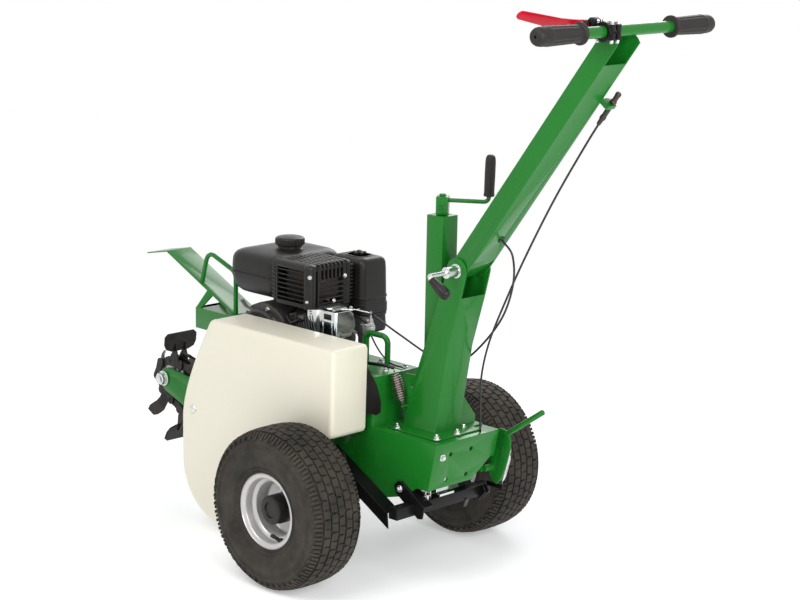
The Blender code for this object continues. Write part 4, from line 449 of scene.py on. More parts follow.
# %% Swept shapes
def swept(bm, points, radius, sides_level=4):
    """A round wire or tube along points, from a bevelled curve."""
    curve = bpy.data.curves.new("sweep", "CURVE")
    curve.dimensions = "3D"
    curve.bevel_depth = radius
    curve.bevel_resolution = sides_level
    curve.use_fill_caps = True
    spline = curve.splines.new("POLY")
    spline.points.add(len(points) - 1)
    for slot_point, point in zip(spline.points, points):
        slot_point.co = (*point, 1.0)
    holder = bpy.data.objects.new("sweep", curve)
    mesh = bpy.data.meshes.new_from_object(holder)
    before = set(bm.verts)
    bm.from_mesh(mesh)
    bmesh.ops.remove_doubles(bm, verts=since(bm, before), dist=1e-6)
    outward(bm, faces_of(since(bm, before)))
    bpy.data.objects.remove(holder)
    bpy.data.meshes.remove(mesh)


print("swept ready")

# %% [markdown]
# Rods are bent round a former, so each corner of a drawn path becomes an arc of one radius. A
# smoothing modifier would round the corners too, but would pull the straight parts inward.

# %% Bends and arcs
def bent(corners, radius, steps=8):
    """A rod's corners with each bend turned into an arc."""
    corners = [Vector(c) for c in corners]
    points = [corners[0]]
    for before, corner, after in zip(corners, corners[1:], corners[2:]):
        inward = (before - corner).normalized()
        onward = (after - corner).normalized()
        half = inward.angle(onward) / 2
        reach = radius / math.tan(half)
        middle = corner + (inward + onward).normalized() * (radius / math.sin(half))
        start = corner + inward * reach - middle
        stop = corner + onward * reach - middle
        sweep = start.angle(stop)
        for k in range(steps + 1):
            t = k / steps
            mixed = start * math.sin((1 - t) * sweep) + stop * math.sin(t * sweep)
            points.append(middle + mixed / math.sin(sweep))
    points.append(corners[-1])
    return points


def arc(centre, radius, start_deg, end_deg, steps):
    """Points on a circle's arc, from one angle to another."""
    points = []
    for k in range(steps + 1):
        angle = math.radians(start_deg + (end_deg - start_deg) * k / steps)
        points.append((centre[0] + radius * math.cos(angle), centre[1] + radius * math.sin(angle)))
    return points


print("arc of a quarter circle", [round(v, 2) for v in arc((0.0, 0.0), 1.0, 0, 90, 2)[1]])

# %% [markdown]
# A finished bmesh becomes an object at the origin, with its place in its mesh. It is shaded
# smooth except across sharp edges, rides on one body, and may stand in for CAD nodes.

# %% From mesh to piece
def object_from(name, bm, finish):
    """Links a smooth object made of a bmesh, in one finish."""
    mesh = bpy.data.meshes.new(name)
    bm.to_mesh(mesh)
    bm.free()
    mesh.shade_smooth()
    mesh.materials.append(finish)
    obj = bpy.data.objects.new(name, mesh)
    bpy.context.scene.collection.objects.link(obj)
    return obj


def add_piece(name, bm, finish, body, slot, replaces=(), sharp_deg=35.0):
    """A piece that rides on a body and may stand for CAD nodes."""
    obj = object_from(name, bm, finish)
    obj.data.set_sharp_from_angle(angle=math.radians(sharp_deg))
    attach(obj, body)
    if replaces:
        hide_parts(*replaces)
    print(f"{name}: {len(obj.data.polygons)} faces on {body}")


def machine_piece(name, bm, *rest, **named):
    """A piece made in the machine's own coordinates, moved to its place in the frame."""
    bmesh.ops.translate(bm, verts=bm.verts, vec=(0.0, AXLE_Y, 0.0))
    add_piece(name, bm, *rest, **named)


# %% [markdown]
# Folded sheet metal gets its rolled edges from a copy of the CAD node. Modelling the chassis
# again would risk a mismatch, and a Bevel modifier on loose triangles would round every one of
# them. So the copy is merged, its flat triangles are dissolved into whole faces, and the sharp
# edges that are left are bevelled a millimetre or so.

# %% Rolled edges on sheet metal and castings
def rolled_copy(node_name, width, finish=None):
    """Stands in for a CAD node with a copy whose sharp edges are rolled."""
    bm = bmesh.new()
    bm.from_mesh(frame["nodes"][node_name].data)
    bmesh.ops.remove_doubles(bm, verts=bm.verts, dist=2e-5)
    bmesh.ops.dissolve_limit(bm, angle_limit=math.radians(1.5), use_dissolve_boundaries=False,
                             verts=bm.verts, edges=bm.edges)
    soften(bm, bm.verts, width)
    slot = SLOT_OF[node_name]
    add_piece(node_name + "_rolled", bm, finish or NODE_FINISH[slot], BODY_OF[node_name], slot,
              (node_name,), 40.0)


EDGE_WIDTHS = {"chassis_frame": 0.0014, "front_bracket": 0.0012, "spoil_deflector": 0.0009,
               "handle_column": 0.0011, "jack_tube": 0.0012, "handle_arm": 0.0010,
               "boom_bar": 0.0009, "lock_lever": 0.0008, "guard_backplate": 0.0006,
               "crankcase": 0.0016, "clutch_lever": 0.0008, "throttle_lever": 0.0003,
               "jack_leg": 0.0008}
OTHER_FINISH = {"crankcase": CASTING_DARK}
for node_name, width in EDGE_WIDTHS.items():
    rolled_copy(node_name, width, OTHER_FINISH.get(node_name))

# %% [markdown]
# A turf tyre is a smooth carcass with hundreds of small raised blocks. The carcass is one spun
# section: half of it is written as steps from the middle of the tread to the bead, and the other
# half is its mirror.

# %% Tyre carcass
WHEEL_RADIUS, WHEEL_Z = 0.1904, 0.1905
HALF_TRACK = 0.3057
WHEELS = (("left", 1), ("right", -1))
CROWN = [(0.0, 0.1852), (0.020, 0.1850), (0.036, 0.1840), (0.050, 0.1815), (0.060, 0.1772),
         (0.0675, 0.1705)]
SIDE = [(0.0715, 0.1600), (0.0738, 0.1470), (0.0745, 0.1340), (0.0738, 0.1215), (0.0712, 0.1090),
        (0.0668, 0.0985), (0.0640, 0.0945), (0.0655, 0.0925), (0.0635, 0.0905), (0.0595, 0.0895),
        (0.0560, 0.0800)]


def wheel_centre(side):
    """The middle of a wheel; side is 1 on the left and -1 on the right."""
    return spot(side * HALF_TRACK, 0.0, WHEEL_Z)


def tyre_section():
    """The closed section of the carcass, as (across, radius) points."""
    inner = [(0.050, 0.0800), (0.0520, 0.0960), (0.0650, 0.1120), (0.0655, 0.1450),
             (0.0520, 0.1700), (0.020, 0.1760)]
    right = CROWN + SIDE + inner
    left = [(-a, r) for a, r in reversed(right) if a > 0.0]
    return right + left


def crown_at(across):
    """Radius and tilt of the carcass at a place across the tread."""
    across = abs(across)
    line = CROWN + SIDE[:2]
    for (a0, r0), (a1, r1) in zip(line, line[1:]):
        if across <= a1:
            t = (across - a0) / (a1 - a0)
            return r0 + (r1 - r0) * t, math.atan2(r0 - r1, a1 - a0)
    return line[-1][1], math.radians(70)


print("carcass radius at the shoulder", round(crown_at(0.06)[0], 4))

# %% [markdown]
# The tread could be a bump in the rubber, but its outline shows against the white, so every
# block is real. A block is made flat, tilted to the crown and turned to its place. Each row
# stands half a step on from the next, which gives the brick-like pattern, and longer and
# shorter lugs take turns on the shoulders.

# %% Tread blocks
# Each row: its place across, block width, shift along in steps, and height
TREAD_ROWS = ((0.0, 0.0172, 0.0, 0.0046), (0.0215, 0.0182, 0.5, 0.0046),
              (-0.0215, 0.0182, 0.5, 0.0046), (0.0425, 0.0172, 0.0, 0.00465),
              (-0.0425, 0.0172, 0.0, 0.00465))
BLOCKS_ROUND, GROOVE = 54, 0.0036
SHOULDER_AT, SHORT_LUG, LONG_LUG, LUG_HEIGHT = 0.0602, 0.0150, 0.0205, 0.0046


def add_block(bm, wide, long, lean, across, angle, height):
    """One S-shaped block, made flat and then laid on the carcass."""
    w, s = wide / 2, long / 2
    outline = [(-w, -s - lean), (-0.25 * w, -s), (0.25 * w, -s), (w, -s + lean), (w, s + lean),
               (0.25 * w, s), (-0.25 * w, s), (-w, s - lean)]
    verts = plate(bm, outline, -0.004, height, "Z")
    near = dict.fromkeys(e for v in verts for e in v.link_edges)
    top = [e for e in near if all(v.co.z > height - 1e-5 for v in e.verts)]
    made = bmesh.ops.bevel(bm, geom=top, offset=0.0009, offset_type="OFFSET", segments=1,
                           profile=0.5, affect="EDGES", material=-1)["verts"]
    radius, tilt = crown_at(across)
    lay = Matrix.Rotation(math.copysign(tilt, across), 4, "Y")
    place = Matrix.Rotation(angle, 4, "X") @ Matrix.Translation((across, 0.0, radius)) @ lay
    everything = list({v for v in verts if v.is_valid} | set(made))
    bmesh.ops.transform(bm, matrix=place, verts=everything)


def add_tread(bm):
    """All blocks of one tyre: the middle rows, then both shoulders."""
    step = 2 * math.pi / BLOCKS_ROUND
    length = step * WHEEL_RADIUS
    for across, wide, shift, height in TREAD_ROWS:
        for k in range(BLOCKS_ROUND):
            add_block(bm, wide, length - GROOVE, 0.0022 * (1 if k % 2 else -1), across,
                      (k + shift) * step, height)
    for side in (1, -1):
        for k in range(BLOCKS_ROUND * 2):
            reach = LONG_LUG if k % 2 else SHORT_LUG
            across = side * (SHOULDER_AT + (reach - SHORT_LUG) / 2)
            add_block(bm, reach, length / 2 - 0.0042, 0.0006, across, k * step / 2, LUG_HEIGHT)


print("blocks on a tyre", BLOCKS_ROUND * (len(TREAD_ROWS) + 4))

# %% [markdown]
# The side wall carries four thin moulded rings. They are spun with the same helper and sunk a
# little into the rubber, so no gap shows under them.

# %% Tyres
# Each ring: its radius, the wall's reach there, half its width and its height
WALL_RINGS = ((0.1555, 0.0724, 0.0006, 0.0009), (0.1490, 0.0736, 0.0006, 0.0007),
              (0.1010, 0.0679, 0.0008, 0.0010), (0.1045, 0.0694, 0.0005, 0.0006))
RING_SINK = 0.0015


def make_tyre(name, side, body):
    """The carcass with its blocks and wall rings, as one piece."""
    bm = bmesh.new()
    turned(bm, tyre_section(), 96, (0.0, 0.0, 0.0))
    add_tread(bm)
    for radius, reach, half, high in WALL_RINGS:
        for hand in (1, -1):
            low, top = hand * (reach - RING_SINK), hand * (reach + high)
            ring = [(low, radius - half * 2), (top, radius - half), (top, radius + half),
                    (low, radius + half * 2)]
            turned(bm, ring, 96, (0.0, 0.0, 0.0))
    bmesh.ops.translate(bm, verts=bm.verts, vec=wheel_centre(side))
    add_piece(name + "_turf", bm, RUBBER, body, "tyre_rubber", (name,), 40.0)


for hand, side in WHEELS:
    make_tyre(f"tyre_{hand}", side, f"wheel_{hand}")

# %% [markdown]
# The steel rim is pressed. Seen from outside it steps in from a rolled lip, over the bead seat,
# down to a deep well, and meets the centre disc far inside, round a black hub. A spun profile
# gives all of it at once: the outer skin, its mirror, the inner skin and the disc follow each
# other round one closed section.

# %% Rims
def mirrored(points):
    """The other half of a section, walked back."""
    return [(-a, r) for a, r in reversed(points)]


def make_rim(name, side, body):
    """The pressed rim and the four bolts of its disc."""
    outer = [(0.0626, 0.0868), (0.0622, 0.0884), (0.0608, 0.0895), (0.0592, 0.0893),
             (0.0580, 0.0880), (0.0570, 0.0800), (0.0560, 0.0788), (0.0400, 0.0768),
             (0.0375, 0.0755), (0.0350, 0.0690), (0.0330, 0.0672)]
    disc = [(-0.0045, 0.0645), (-0.0065, 0.0625), (-0.0085, 0.0560), (-0.0120, 0.0500),
            (-0.0120, 0.0244), (-0.0085, 0.0244), (-0.0085, 0.0485), (-0.0055, 0.0535),
            (-0.0030, 0.0600), (-0.0005, 0.0630), (0.0020, 0.0645)]
    inner = [(0.0330, 0.0645), (0.0350, 0.0655), (0.0385, 0.0735), (0.0400, 0.0742),
             (0.0550, 0.0758), (0.0575, 0.0770), (0.0592, 0.0790), (0.0605, 0.0855)]
    profile = outer + mirrored(outer) + mirrored(inner) + disc + inner
    profile = [(side * a, r) for a, r in profile]
    centre = wheel_centre(side)
    bm = bmesh.new()
    turned(bm, profile, 96, centre)
    add_piece(name + "_pressed", bm, SILVER, body, "silver_paint", (name,), 40.0)
    bm = bmesh.new()
    for k in range(4):
        angle = math.radians(45 + 90 * k)
        y, z = 0.0400 * math.cos(angle), 0.0400 * math.sin(angle)
        face = centre + Vector((side * -0.0086, y, z))
        head = [(0.0, 0.0), (0.0, 0.0075), (0.0042, 0.0075), (0.0052, 0.0065), (0.0052, 0.0)]
        turned(bm, head, 6, face, (side, 0.0, 0.0))
    add_piece(name + "_bolts", bm, ZINC, body, "zinc_plate")


for hand, side in WHEELS:
    make_rim(f"rim_{hand}", side, f"wheel_{hand}")

# %% [markdown]
# The hub is a black moulded cap on a neck through the disc. It is turned, and three short ribs
# are laid on its skirt. Each rib is softened flat at the origin first, because a bevel on a
# straight block is even, and then turned to its place.

# %% Hubs
def make_hub(name, side, body):
    """The cap, with its ribs turned to their places."""
    centre = wheel_centre(side)
    neck, wide, end = 0.0238, 0.0338, 0.0500
    profile = [(-0.0460, 0.0130), (-0.0460, neck), (-0.0077, neck), (-0.0077, wide - 0.001),
               (-0.0067, wide), (end - 0.0050, wide), (end - 0.0015, wide - 0.0015),
               (end, wide - 0.0050), (end, 0.0190), (end - 0.0035, 0.0175),
               (end - 0.0035, 0.0), (end - 0.0060, 0.0), (end - 0.0060, 0.0130)]
    bm = bmesh.new()
    turned(bm, [(side * a, r) for a, r in profile], 64, centre)
    for k in range(3):
        angle = math.radians(90 + 120 * k)
        before = set(bm.verts)
        soften(bm, block(bm, (0.0, 0.0300), (-0.0022, 0.0022), (-0.0016, 0.0016)), 0.0006)
        ridge = since(bm, before)
        place = (Matrix.Translation(centre + Vector((side * 0.006, 0.0, 0.0)))
                 @ Matrix.Rotation(angle, 4, "X") @ Matrix.Translation((0.0, 0.0, wide))
                 @ Matrix.Diagonal((side, 1.0, 1.0, 1.0)))
        bmesh.ops.transform(bm, matrix=place, verts=ridge)
        outward(bm, faces_of(ridge))
    add_piece(name + "_cap", bm, PLASTIC, body, "black_plastic", (name,))


for hand, side in WHEELS:
    make_hub(f"hub_{hand}", side, f"wheel_{hand}")

# %% [markdown]
# A rubber valve leans out of the rim's well. It is one turned profile with its cap, set where
# the well can be seen through the dish.

# %% Valves
VALVE_ANGLE = -62


def make_valve(name, side, body):
    """A valve that leans out of the well."""
    centre = wheel_centre(side)
    angle = math.radians(VALVE_ANGLE)
    out_way = Vector((0.0, math.cos(angle), math.sin(angle)))
    root = centre + Vector((side * 0.046, 0.0, 0.0)) + out_way * 0.0748
    lean = (Vector((side, 0.0, 0.0)) - out_way * 0.9).normalized()
    profile = [(0.0, 0.0), (0.0, 0.0075), (0.0030, 0.0072), (0.0060, 0.0046), (0.0200, 0.0040),
               (0.0205, 0.0048), (0.0285, 0.0048), (0.0300, 0.0038), (0.0300, 0.0)]
    bm = bmesh.new()
    turned(bm, profile, 24, root, lean)
    add_piece(name, bm, PLASTIC, body, "black_plastic")


for hand, side in WHEELS:
    make_valve(f"valve_{hand}", side, f"wheel_{hand}")

# %% [markdown]
# The engine's plastic shells are mouldings with soft corners. Each is a stack of rounded
# rectangles joined by bridge_loops, so its shoulder, its seam and its tucked-in foot are a few
# numbers: a height and how far the outline is drawn in there.

# %% Stacked mouldings
def rounded_loop(bm, x_range, y_range, z, inset, radius, steps=8):
    """One rounded rectangle of edges at a height; returns its edges."""
    x0, x1 = x_range[0] + inset, x_range[1] - inset
    y0, y1 = y_range[0] + inset, y_range[1] - inset
    radius = max(0.002, min(radius, (x1 - x0) / 2 - 0.0005, (y1 - y0) / 2 - 0.0005))
    points = arc((x1 - radius, y1 - radius), radius, 0, 90, steps)
    points += arc((x0 + radius, y1 - radius), radius, 90, 180, steps)
    points += arc((x0 + radius, y0 + radius), radius, 180, 270, steps)
    points += arc((x1 - radius, y0 + radius), radius, 270, 360, steps)
    verts = [bm.verts.new((x, y, z)) for x, y in points]
    return [bm.edges.new((verts[i - 1], verts[i])) for i in range(len(verts))]


def stacked(bm, x_range, y_range, levels, radius, steps=8):
    """A closed shell through rounded rectangles given as (height, inset) from low to high."""
    before = set(bm.verts)
    loops = [rounded_loop(bm, x_range, y_range, z, inset, radius - 0.5 * inset, steps)
             for z, inset in levels]
    for low, high in zip(loops, loops[1:]):
        bmesh.ops.bridge_loops(bm, edges=low + high)
    for loop in (loops[0], loops[-1]):
        bmesh.ops.contextual_create(bm, geom=loop)
    outward(bm, faces_of(since(bm, before)))


print("rounded rectangles can be stacked")

# %% [markdown]
# The tank is one black moulding with a welded seam round its waist. Above the seam it rises
# almost straight into a wide soft shoulder, and below it tucks in much further. A subdivided box
# would come out too round, so its levels are listed one by one. A small lifting tab stands out
# of the seam at the front.

# %% Fuel tank
TANK_X, TANK_Y = (-0.150, 0.080), (-0.484, -0.2835)
SEAM_Z = 0.6405
FILLER_X, FILLER_Y = -0.030, -0.363
bm = bmesh.new()
levels = [(0.5850, 0.050), (0.5862, 0.036), (0.5910, 0.024), (0.5990, 0.0145), (0.6100, 0.0085),
          (0.6240, 0.0048), (0.6375, 0.0030), (SEAM_Z - 0.0018, 0.0030), (SEAM_Z - 0.0015, 0.0004),
          (SEAM_Z + 0.0015, 0.0004), (SEAM_Z + 0.0018, 0.0030), (0.6600, 0.0034), (0.6740, 0.0044),
          (0.6830, 0.0076), (0.6890, 0.0130), (0.6930, 0.0210), (0.6965, 0.0360), (0.6998, 0.0640)]
stacked(bm, TANK_X, TANK_Y, levels, 0.040, 10)
tab = plate(bm, [(0.012, -0.4815), (0.030, -0.4815), (0.027, -0.4905), (0.015, -0.4905)],
            SEAM_Z - 0.0018, SEAM_Z + 0.0018, "Z")
soften(bm, tab, 0.0012, 2)
neck = [(0.6930, 0.0), (0.6930, 0.0330), (0.6985, 0.0330), (0.7010, 0.0300), (0.7062, 0.0295),
        (0.7062, 0.0)]
turned(bm, neck, 48, (FILLER_X, FILLER_Y, 0.0), UP)
for x, y in ((-0.060, -0.330), (0.040, -0.330)):
    bar(bm, (x, y, 0.5800), (x, y, 0.5920), 0.010)
machine_piece("fuel_tank_shell", bm, PLASTIC, BODY_OF["fuel_tank"], "black_plastic",
              ("fuel_tank",))

# %% [markdown]
# The fuel cap is a thick disc with small scallops for the fingers round its edge and a turned,
# slightly domed top. The scallops are part of the outline, four points each, so they run true
# down the side.

# %% Fuel cap
CAP_SCALLOPS = 28
bm = bmesh.new()
ring = []
for k in range(CAP_SCALLOPS * 4):
    angle = 2 * math.pi * k / (CAP_SCALLOPS * 4)
    reach = 0.0362 + (0.0008, 0.0002, -0.0012, 0.0002)[k % 4]
    ring.append((reach * math.cos(angle), reach * math.sin(angle)))
plate(bm, ring, 0.7105, 0.7235, "Z")
dome = [(0.7070, 0.0), (0.7070, 0.0335), (0.7110, 0.0350), (0.7228, 0.0358), (0.7250, 0.0350),
        (0.7266, 0.0330), (0.7278, 0.0290), (0.7284, 0.0180), (0.7288, 0.0165), (0.7288, 0.0)]
turned(bm, dome, 72, (0.0, 0.0, 0.0), UP)
bmesh.ops.translate(bm, verts=bm.verts, vec=(FILLER_X, FILLER_Y, 0.0))
machine_piece("fuel_cap_ribbed", bm, PLASTIC, BODY_OF["fuel_cap"], "black_plastic", ("fuel_cap",))

# %% [markdown]
# The muffler guard is a cage that lets the heat out. Bars with real gaps show the dark muffler
# behind them, which painted slots would not. First come its frame, two round corner posts and
# two rolled top edges, and the flat bars that cross the top.

# %% Muffler guard, frame and top
GUARD_X, GUARD_Y, GUARD_Z = (-0.048, 0.095), (-0.279, -0.155), (0.5935, 0.700)
POST = 0.015


def rib(bm, x_range, y_range, z_range, width=0.0009, segments=2):
    """A block with rolled edges."""
    verts = block(bm, x_range, y_range, z_range)
    soften(bm, verts, width, segments)


bm = bmesh.new()
x_out, y_out, z_top = GUARD_X[1], GUARD_Y[1], GUARD_Z[1]
post = [(GUARD_Z[0], 0.0), (GUARD_Z[0], POST), (z_top - 0.010, POST), (z_top - 0.006, POST * 0.95),
        (z_top - 0.0025, POST * 0.80), (z_top - 0.0006, POST * 0.52), (z_top, 0.0)]
turned(bm, post, 40, (x_out - POST, y_out - POST, 0.0), UP)
turned(bm, [(a - 0.0004, r) for a, r in post], 40, (GUARD_X[0] + POST, y_out - POST, 0.0),
       UP)
for out_to, radius, low, high, axis in (
        (x_out, POST, GUARD_Y[0] - 0.006, y_out - POST, "Y"),
        (y_out, POST - 0.001, GUARD_X[0] + POST, x_out - POST, "X")):
    middle = (out_to - POST, z_top - POST)
    roll = arc(middle, radius, 0, 90, 8) + arc(middle, radius - 0.0026, 0, 90, 8)[::-1]
    plate(bm, roll, low, high, axis)
for k in range(9):
    x = GUARD_X[0] + 0.010 + k * 0.0135
    rib(bm, (x, x + 0.0078), (GUARD_Y[0] + 0.002, y_out - 0.012), (z_top - 0.0026, z_top), 0.0006)
for y in (GUARD_Y[0] + 0.002, -0.236, -0.212, -0.184):
    rib(bm, (GUARD_X[0] + 0.006, x_out - 0.012), (y, y + 0.010), (z_top - 0.0032, z_top - 0.0006))
print("cage so far", len(bm.faces), "faces")

# %% [markdown]
# The left face is a framed panel of seven louvres. Each louvre is a thin strip that leans
# inward and down, so from above the gaps look dark and the lips look bright. A comb of short
# ribs in two columns closes the front end.

# %% Muffler guard, louvres and front comb
PANEL_Y, LOUVRES, LOUVRE_STEP = (-0.272, -0.172), 7, 0.0112
for y in PANEL_Y:
    rib(bm, (x_out - 0.0050, x_out + 0.0006), (y - 0.0026, y + 0.0026), (0.600, z_top - 0.010),
        0.0014)
for z_range in ((0.5990, 0.6040), (z_top - 0.0150, z_top - 0.0095)):
    rib(bm, (x_out - 0.0060, x_out + 0.0004), PANEL_Y, z_range, 0.0014)
for k in range(LOUVRES):
    z = 0.6085 + k * LOUVRE_STEP
    lip, root = x_out - 0.0004, x_out - 0.0110
    louvre = [(lip, z + 0.0050), (lip, z + 0.0022), (root, z - 0.0026), (root, z)]
    soften(bm, plate(bm, louvre, *PANEL_Y, "Y"), 0.0005, 1)
rib(bm, (x_out - 0.0040, x_out - 0.0016), (PANEL_Y[1], y_out - POST), (0.5940, z_top - 0.008))
rib(bm, (x_out - 0.0040, x_out - 0.0014), (PANEL_Y[0] - 0.0016, PANEL_Y[1]), (0.5938, 0.6000))
for x, y in ((x_out - 0.0030, -0.2835), (x_out - 0.0085, -0.2955)):
    for k in range(9):
        z = 0.6050 + k * 0.0098
        rib(bm, (x - 0.0080, x), (y - 0.0044, y + 0.0040), (z, z + 0.0054), 0.0012)
    rib(bm, (x - 0.0090, x - 0.0044), (y - 0.0060, y + 0.0058), (0.6000, z_top - 0.006), 0.0010)
print("cage so far", len(bm.faces), "faces")

# %% [markdown]
# The rear face has eight teeth that run over the top edge, above five plain bars, and a comb
# at the far corner. All are blocks with softened edges placed by a step, so their spacing can
# be changed with one number.

# %% Muffler guard, teeth and bars
TEETH_X, TEETH, TOOTH_STEP = (-0.036, 0.066), 8, 0.0128
for k in range(TEETH):
    x = TEETH_X[0] + 0.004 + k * TOOTH_STEP
    rib(bm, (x, x + 0.0060), (y_out - 0.0080, y_out + 0.0010), (0.6610, z_top - 0.0030), 0.0022)
    rib(bm, (x, x + 0.0060), (y_out - 0.0200, y_out - 0.0020), (z_top - 0.0060, z_top + 0.0004),
        0.0020)
for k in range(5):
    z = 0.6010 + k * 0.0118
    rib(bm, TEETH_X, (y_out - 0.0052, y_out - 0.0006), (z, z + 0.0042), 0.0012)
for x in TEETH_X:
    rib(bm, (x - 0.0028, x + 0.0028), (y_out - 0.0060, y_out + 0.0008), (0.5950, z_top - 0.006),
        0.0016)
for k in range(10):
    z = 0.6030 + k * 0.0090
    rib(bm, (GUARD_X[0] - 0.0010, TEETH_X[0] - 0.004), (y_out - 0.0060, y_out + 0.0002),
        (z, z + 0.0048), 0.0012)
rib(bm, (GUARD_X[0] - 0.0006, GUARD_X[0] + 0.0020), (GUARD_Y[0] + 0.004, y_out - POST),
    (0.5940, z_top - 0.010))
rib(bm, (GUARD_X[0] + 0.004, x_out - 0.010), (GUARD_Y[0], GUARD_Y[0] + 0.0024),
    (0.5940, z_top - 0.004))
machine_piece("muffler_guard_grille", bm, PLASTIC, BODY_OF["muffler_guard"], "black_plastic",
              ("muffler_guard",), 40.0)

# %% [markdown]
# Small screws hold the guard. A head is a six-sided turning with a chamfer and a dished top on
# a round washer face: spinning a profile in six steps gives a hexagon at no extra cost.

# %% Screws of the guard
def screw_head(bm, place, direction, radius, height=0.0035):
    """A six-sided head on a round washer face."""
    face = [(0.0, 0.0), (0.0, radius * 1.25), (0.0010, radius * 1.25), (0.0010, radius),
            (0.0010, 0.0)]
    turned(bm, face, 28, place, direction)
    head = [(0.0008, 0.0), (0.0008, radius), (height - 0.0008, radius), (height, radius * 0.86),
            (height, radius * 0.55), (height - 0.0006, radius * 0.45), (height - 0.0006, 0.0)]
    turned(bm, head, 6, place, direction)


bm = bmesh.new()
screw_head(bm, (x_out - POST * 0.3, y_out - POST * 0.3, 0.6720), (0.7, 0.7, 0.0), 0.0040)
screw_head(bm, (-0.020, y_out + 0.0004, 0.6640), REAR, 0.0042)
screw_head(bm, (0.016, y_out + 0.0004, 0.6070), REAR, 0.0038)
screw_head(bm, (x_out - 0.0020, -0.1655, 0.6120), LEFT, 0.0036)
machine_piece("muffler_guard_screws", bm, ZINC, BODY_OF["muffler_guard"], "zinc_plate")

# %% [markdown]
# The muffler itself is a can of two pressed halves with a folded seam between them. It is
# stacked like the tank, and a stub of pipe goes down to the head.

# %% Muffler can
bm = bmesh.new()
stacked(bm, (-0.036, 0.080), (-0.268, -0.170), [(0.6050, 0.012), (0.6090, 0.004), (0.6160, 0.0),
        (0.6420, 0.0), (0.6435, -0.003), (0.6465, -0.003), (0.6480, 0.0), (0.6760, 0.0),
        (0.6840, 0.004), (0.6880, 0.014)], 0.026)
bar(bm, (0.020, -0.200, 0.6100), (0.020, -0.200, 0.5900), 0.012)
machine_piece("muffler_can", bm, CAN_STEEL, BODY_OF["muffler"], "steel", ("muffler",))

# %% [markdown]
# The air cleaner is a tall box with a draft on its sides and a clamp rib low down, on a black
# base. A five-winged knob holds its cover: the knob's outline is one cosine wave round a circle,
# which is smoother than five separate lobes joined together.

# %% Air cleaner
AIR_X, AIR_Y = (-0.150, -0.0545), (-0.255, -0.128)
KNOB_WINGS, KNOB_POINTS = 5, 60
bm = bmesh.new()
stacked(bm, AIR_X, AIR_Y, [(0.5622, 0.0016), (0.5630, 0.0004), (0.5860, 0.0004), (0.5880, 0.0022),
        (0.5980, 0.0024), (0.6000, 0.0010), (0.6040, 0.0010), (0.6060, 0.0026), (0.6700, 0.0040),
        (0.6860, 0.0052), (0.6930, 0.0080), (0.6975, 0.0130), (0.6995, 0.0220)], 0.017, 8)
stacked(bm, (-0.130, -0.0735), (-0.224, -0.156),
        [(0.6990, 0.0), (0.7006, 0.0012), (0.7006, 0.0060)], 0.020, 6)
machine_piece("air_cleaner_shell", bm, PLASTIC, BODY_OF["air_cleaner_cover"], "black_plastic",
              ("air_cleaner_cover",))
bm = bmesh.new()
star = []
for k in range(KNOB_POINTS):
    angle = 2 * math.pi * k / KNOB_POINTS
    reach = 0.0130 + 0.0046 * math.cos(KNOB_WINGS * angle)
    star.append((reach * math.cos(angle), reach * math.sin(angle)))
soften(bm, plate(bm, star, 0.7004, 0.7076, "Z"), 0.0014, 2, 40.0)
boss = [(0.7068, 0.0), (0.7068, 0.0070), (0.7100, 0.0062), (0.7108, 0.0040), (0.7108, 0.0)]
turned(bm, boss, 24, (0.0, 0.0, 0.0), UP)
bmesh.ops.translate(bm, verts=bm.verts, vec=(-0.102, -0.190, 0.0))
machine_piece("air_cleaner_knob", bm, PLASTIC, BODY_OF["air_cleaner_cover"], "black_plastic")
bm = bmesh.new()
stacked(bm, (-0.146, -0.0665), (-0.2400, -0.130), [(0.5132, 0.006), (0.5150, 0.002), (0.5200, 0.0),
        (0.5290, 0.0), (0.5300, -0.0012), (0.5330, -0.0012), (0.5340, 0.0), (0.5540, 0.001),
        (0.5560, -0.0010), (0.5616, -0.0010)], 0.014, 6)
machine_piece("air_cleaner_foot", bm, PLASTIC, BODY_OF["air_cleaner_base"], "black_plastic",
              ("air_cleaner_base",))

# %% [markdown]
# The carburettor is a small casting with round edges, a flange toward the rear and a turned
# float bowl with a drain screw hung under it. The smaller sediment bowl of the fuel tap stands
# beside it, turned the same way.

# %% Carburettor
bm = bmesh.new()
soften(bm, block(bm, (-0.0660, -0.0345), (-0.1450, -0.0980), (0.5200, 0.5600)), 0.0045, 3)
turned(bm, [(0.0, 0.0), (0.0, 0.0165), (0.0040, 0.0165), (0.0040, 0.0120), (0.0110, 0.0115),
            (0.0110, 0.0)], 32, (-0.0500, -0.1000, 0.540), REAR)
bowl = [(0.4925, 0.0), (0.4925, 0.0070), (0.4945, 0.0105), (0.4990, 0.0128), (0.5150, 0.0134),
        (0.5160, 0.0150), (0.5200, 0.0150), (0.5205, 0.0130), (0.5215, 0.0)]
turned(bm, bowl, 40, (-0.0520, -0.1200, 0.0), UP)
turned(bm, [(0.4895, 0.0), (0.4895, 0.0040), (0.4930, 0.0044), (0.4930, 0.0)], 6,
       (-0.0520, -0.1200, 0.0), UP)
machine_piece("carburettor_body", bm, CAST, BODY_OF["carburettor"], "cast_aluminium",
              ("carburettor",))
bm = bmesh.new()
bowl = [(0.5225, 0.0), (0.5225, 0.0090), (0.5240, 0.0118), (0.5420, 0.0126), (0.5425, 0.0140),
        (0.5465, 0.0140), (0.5480, 0.0110), (0.5480, 0.0)]
turned(bm, bowl, 40, (-0.0320, -0.0860, 0.0), UP)
soften(bm, block(bm, (-0.0440, -0.0200), (-0.1000, -0.0780), (0.5470, 0.5560)), 0.0030, 3)
machine_piece("fuel_sediment_bowl", bm, CAST, BODY_OF["carburettor"], "cast_aluminium")

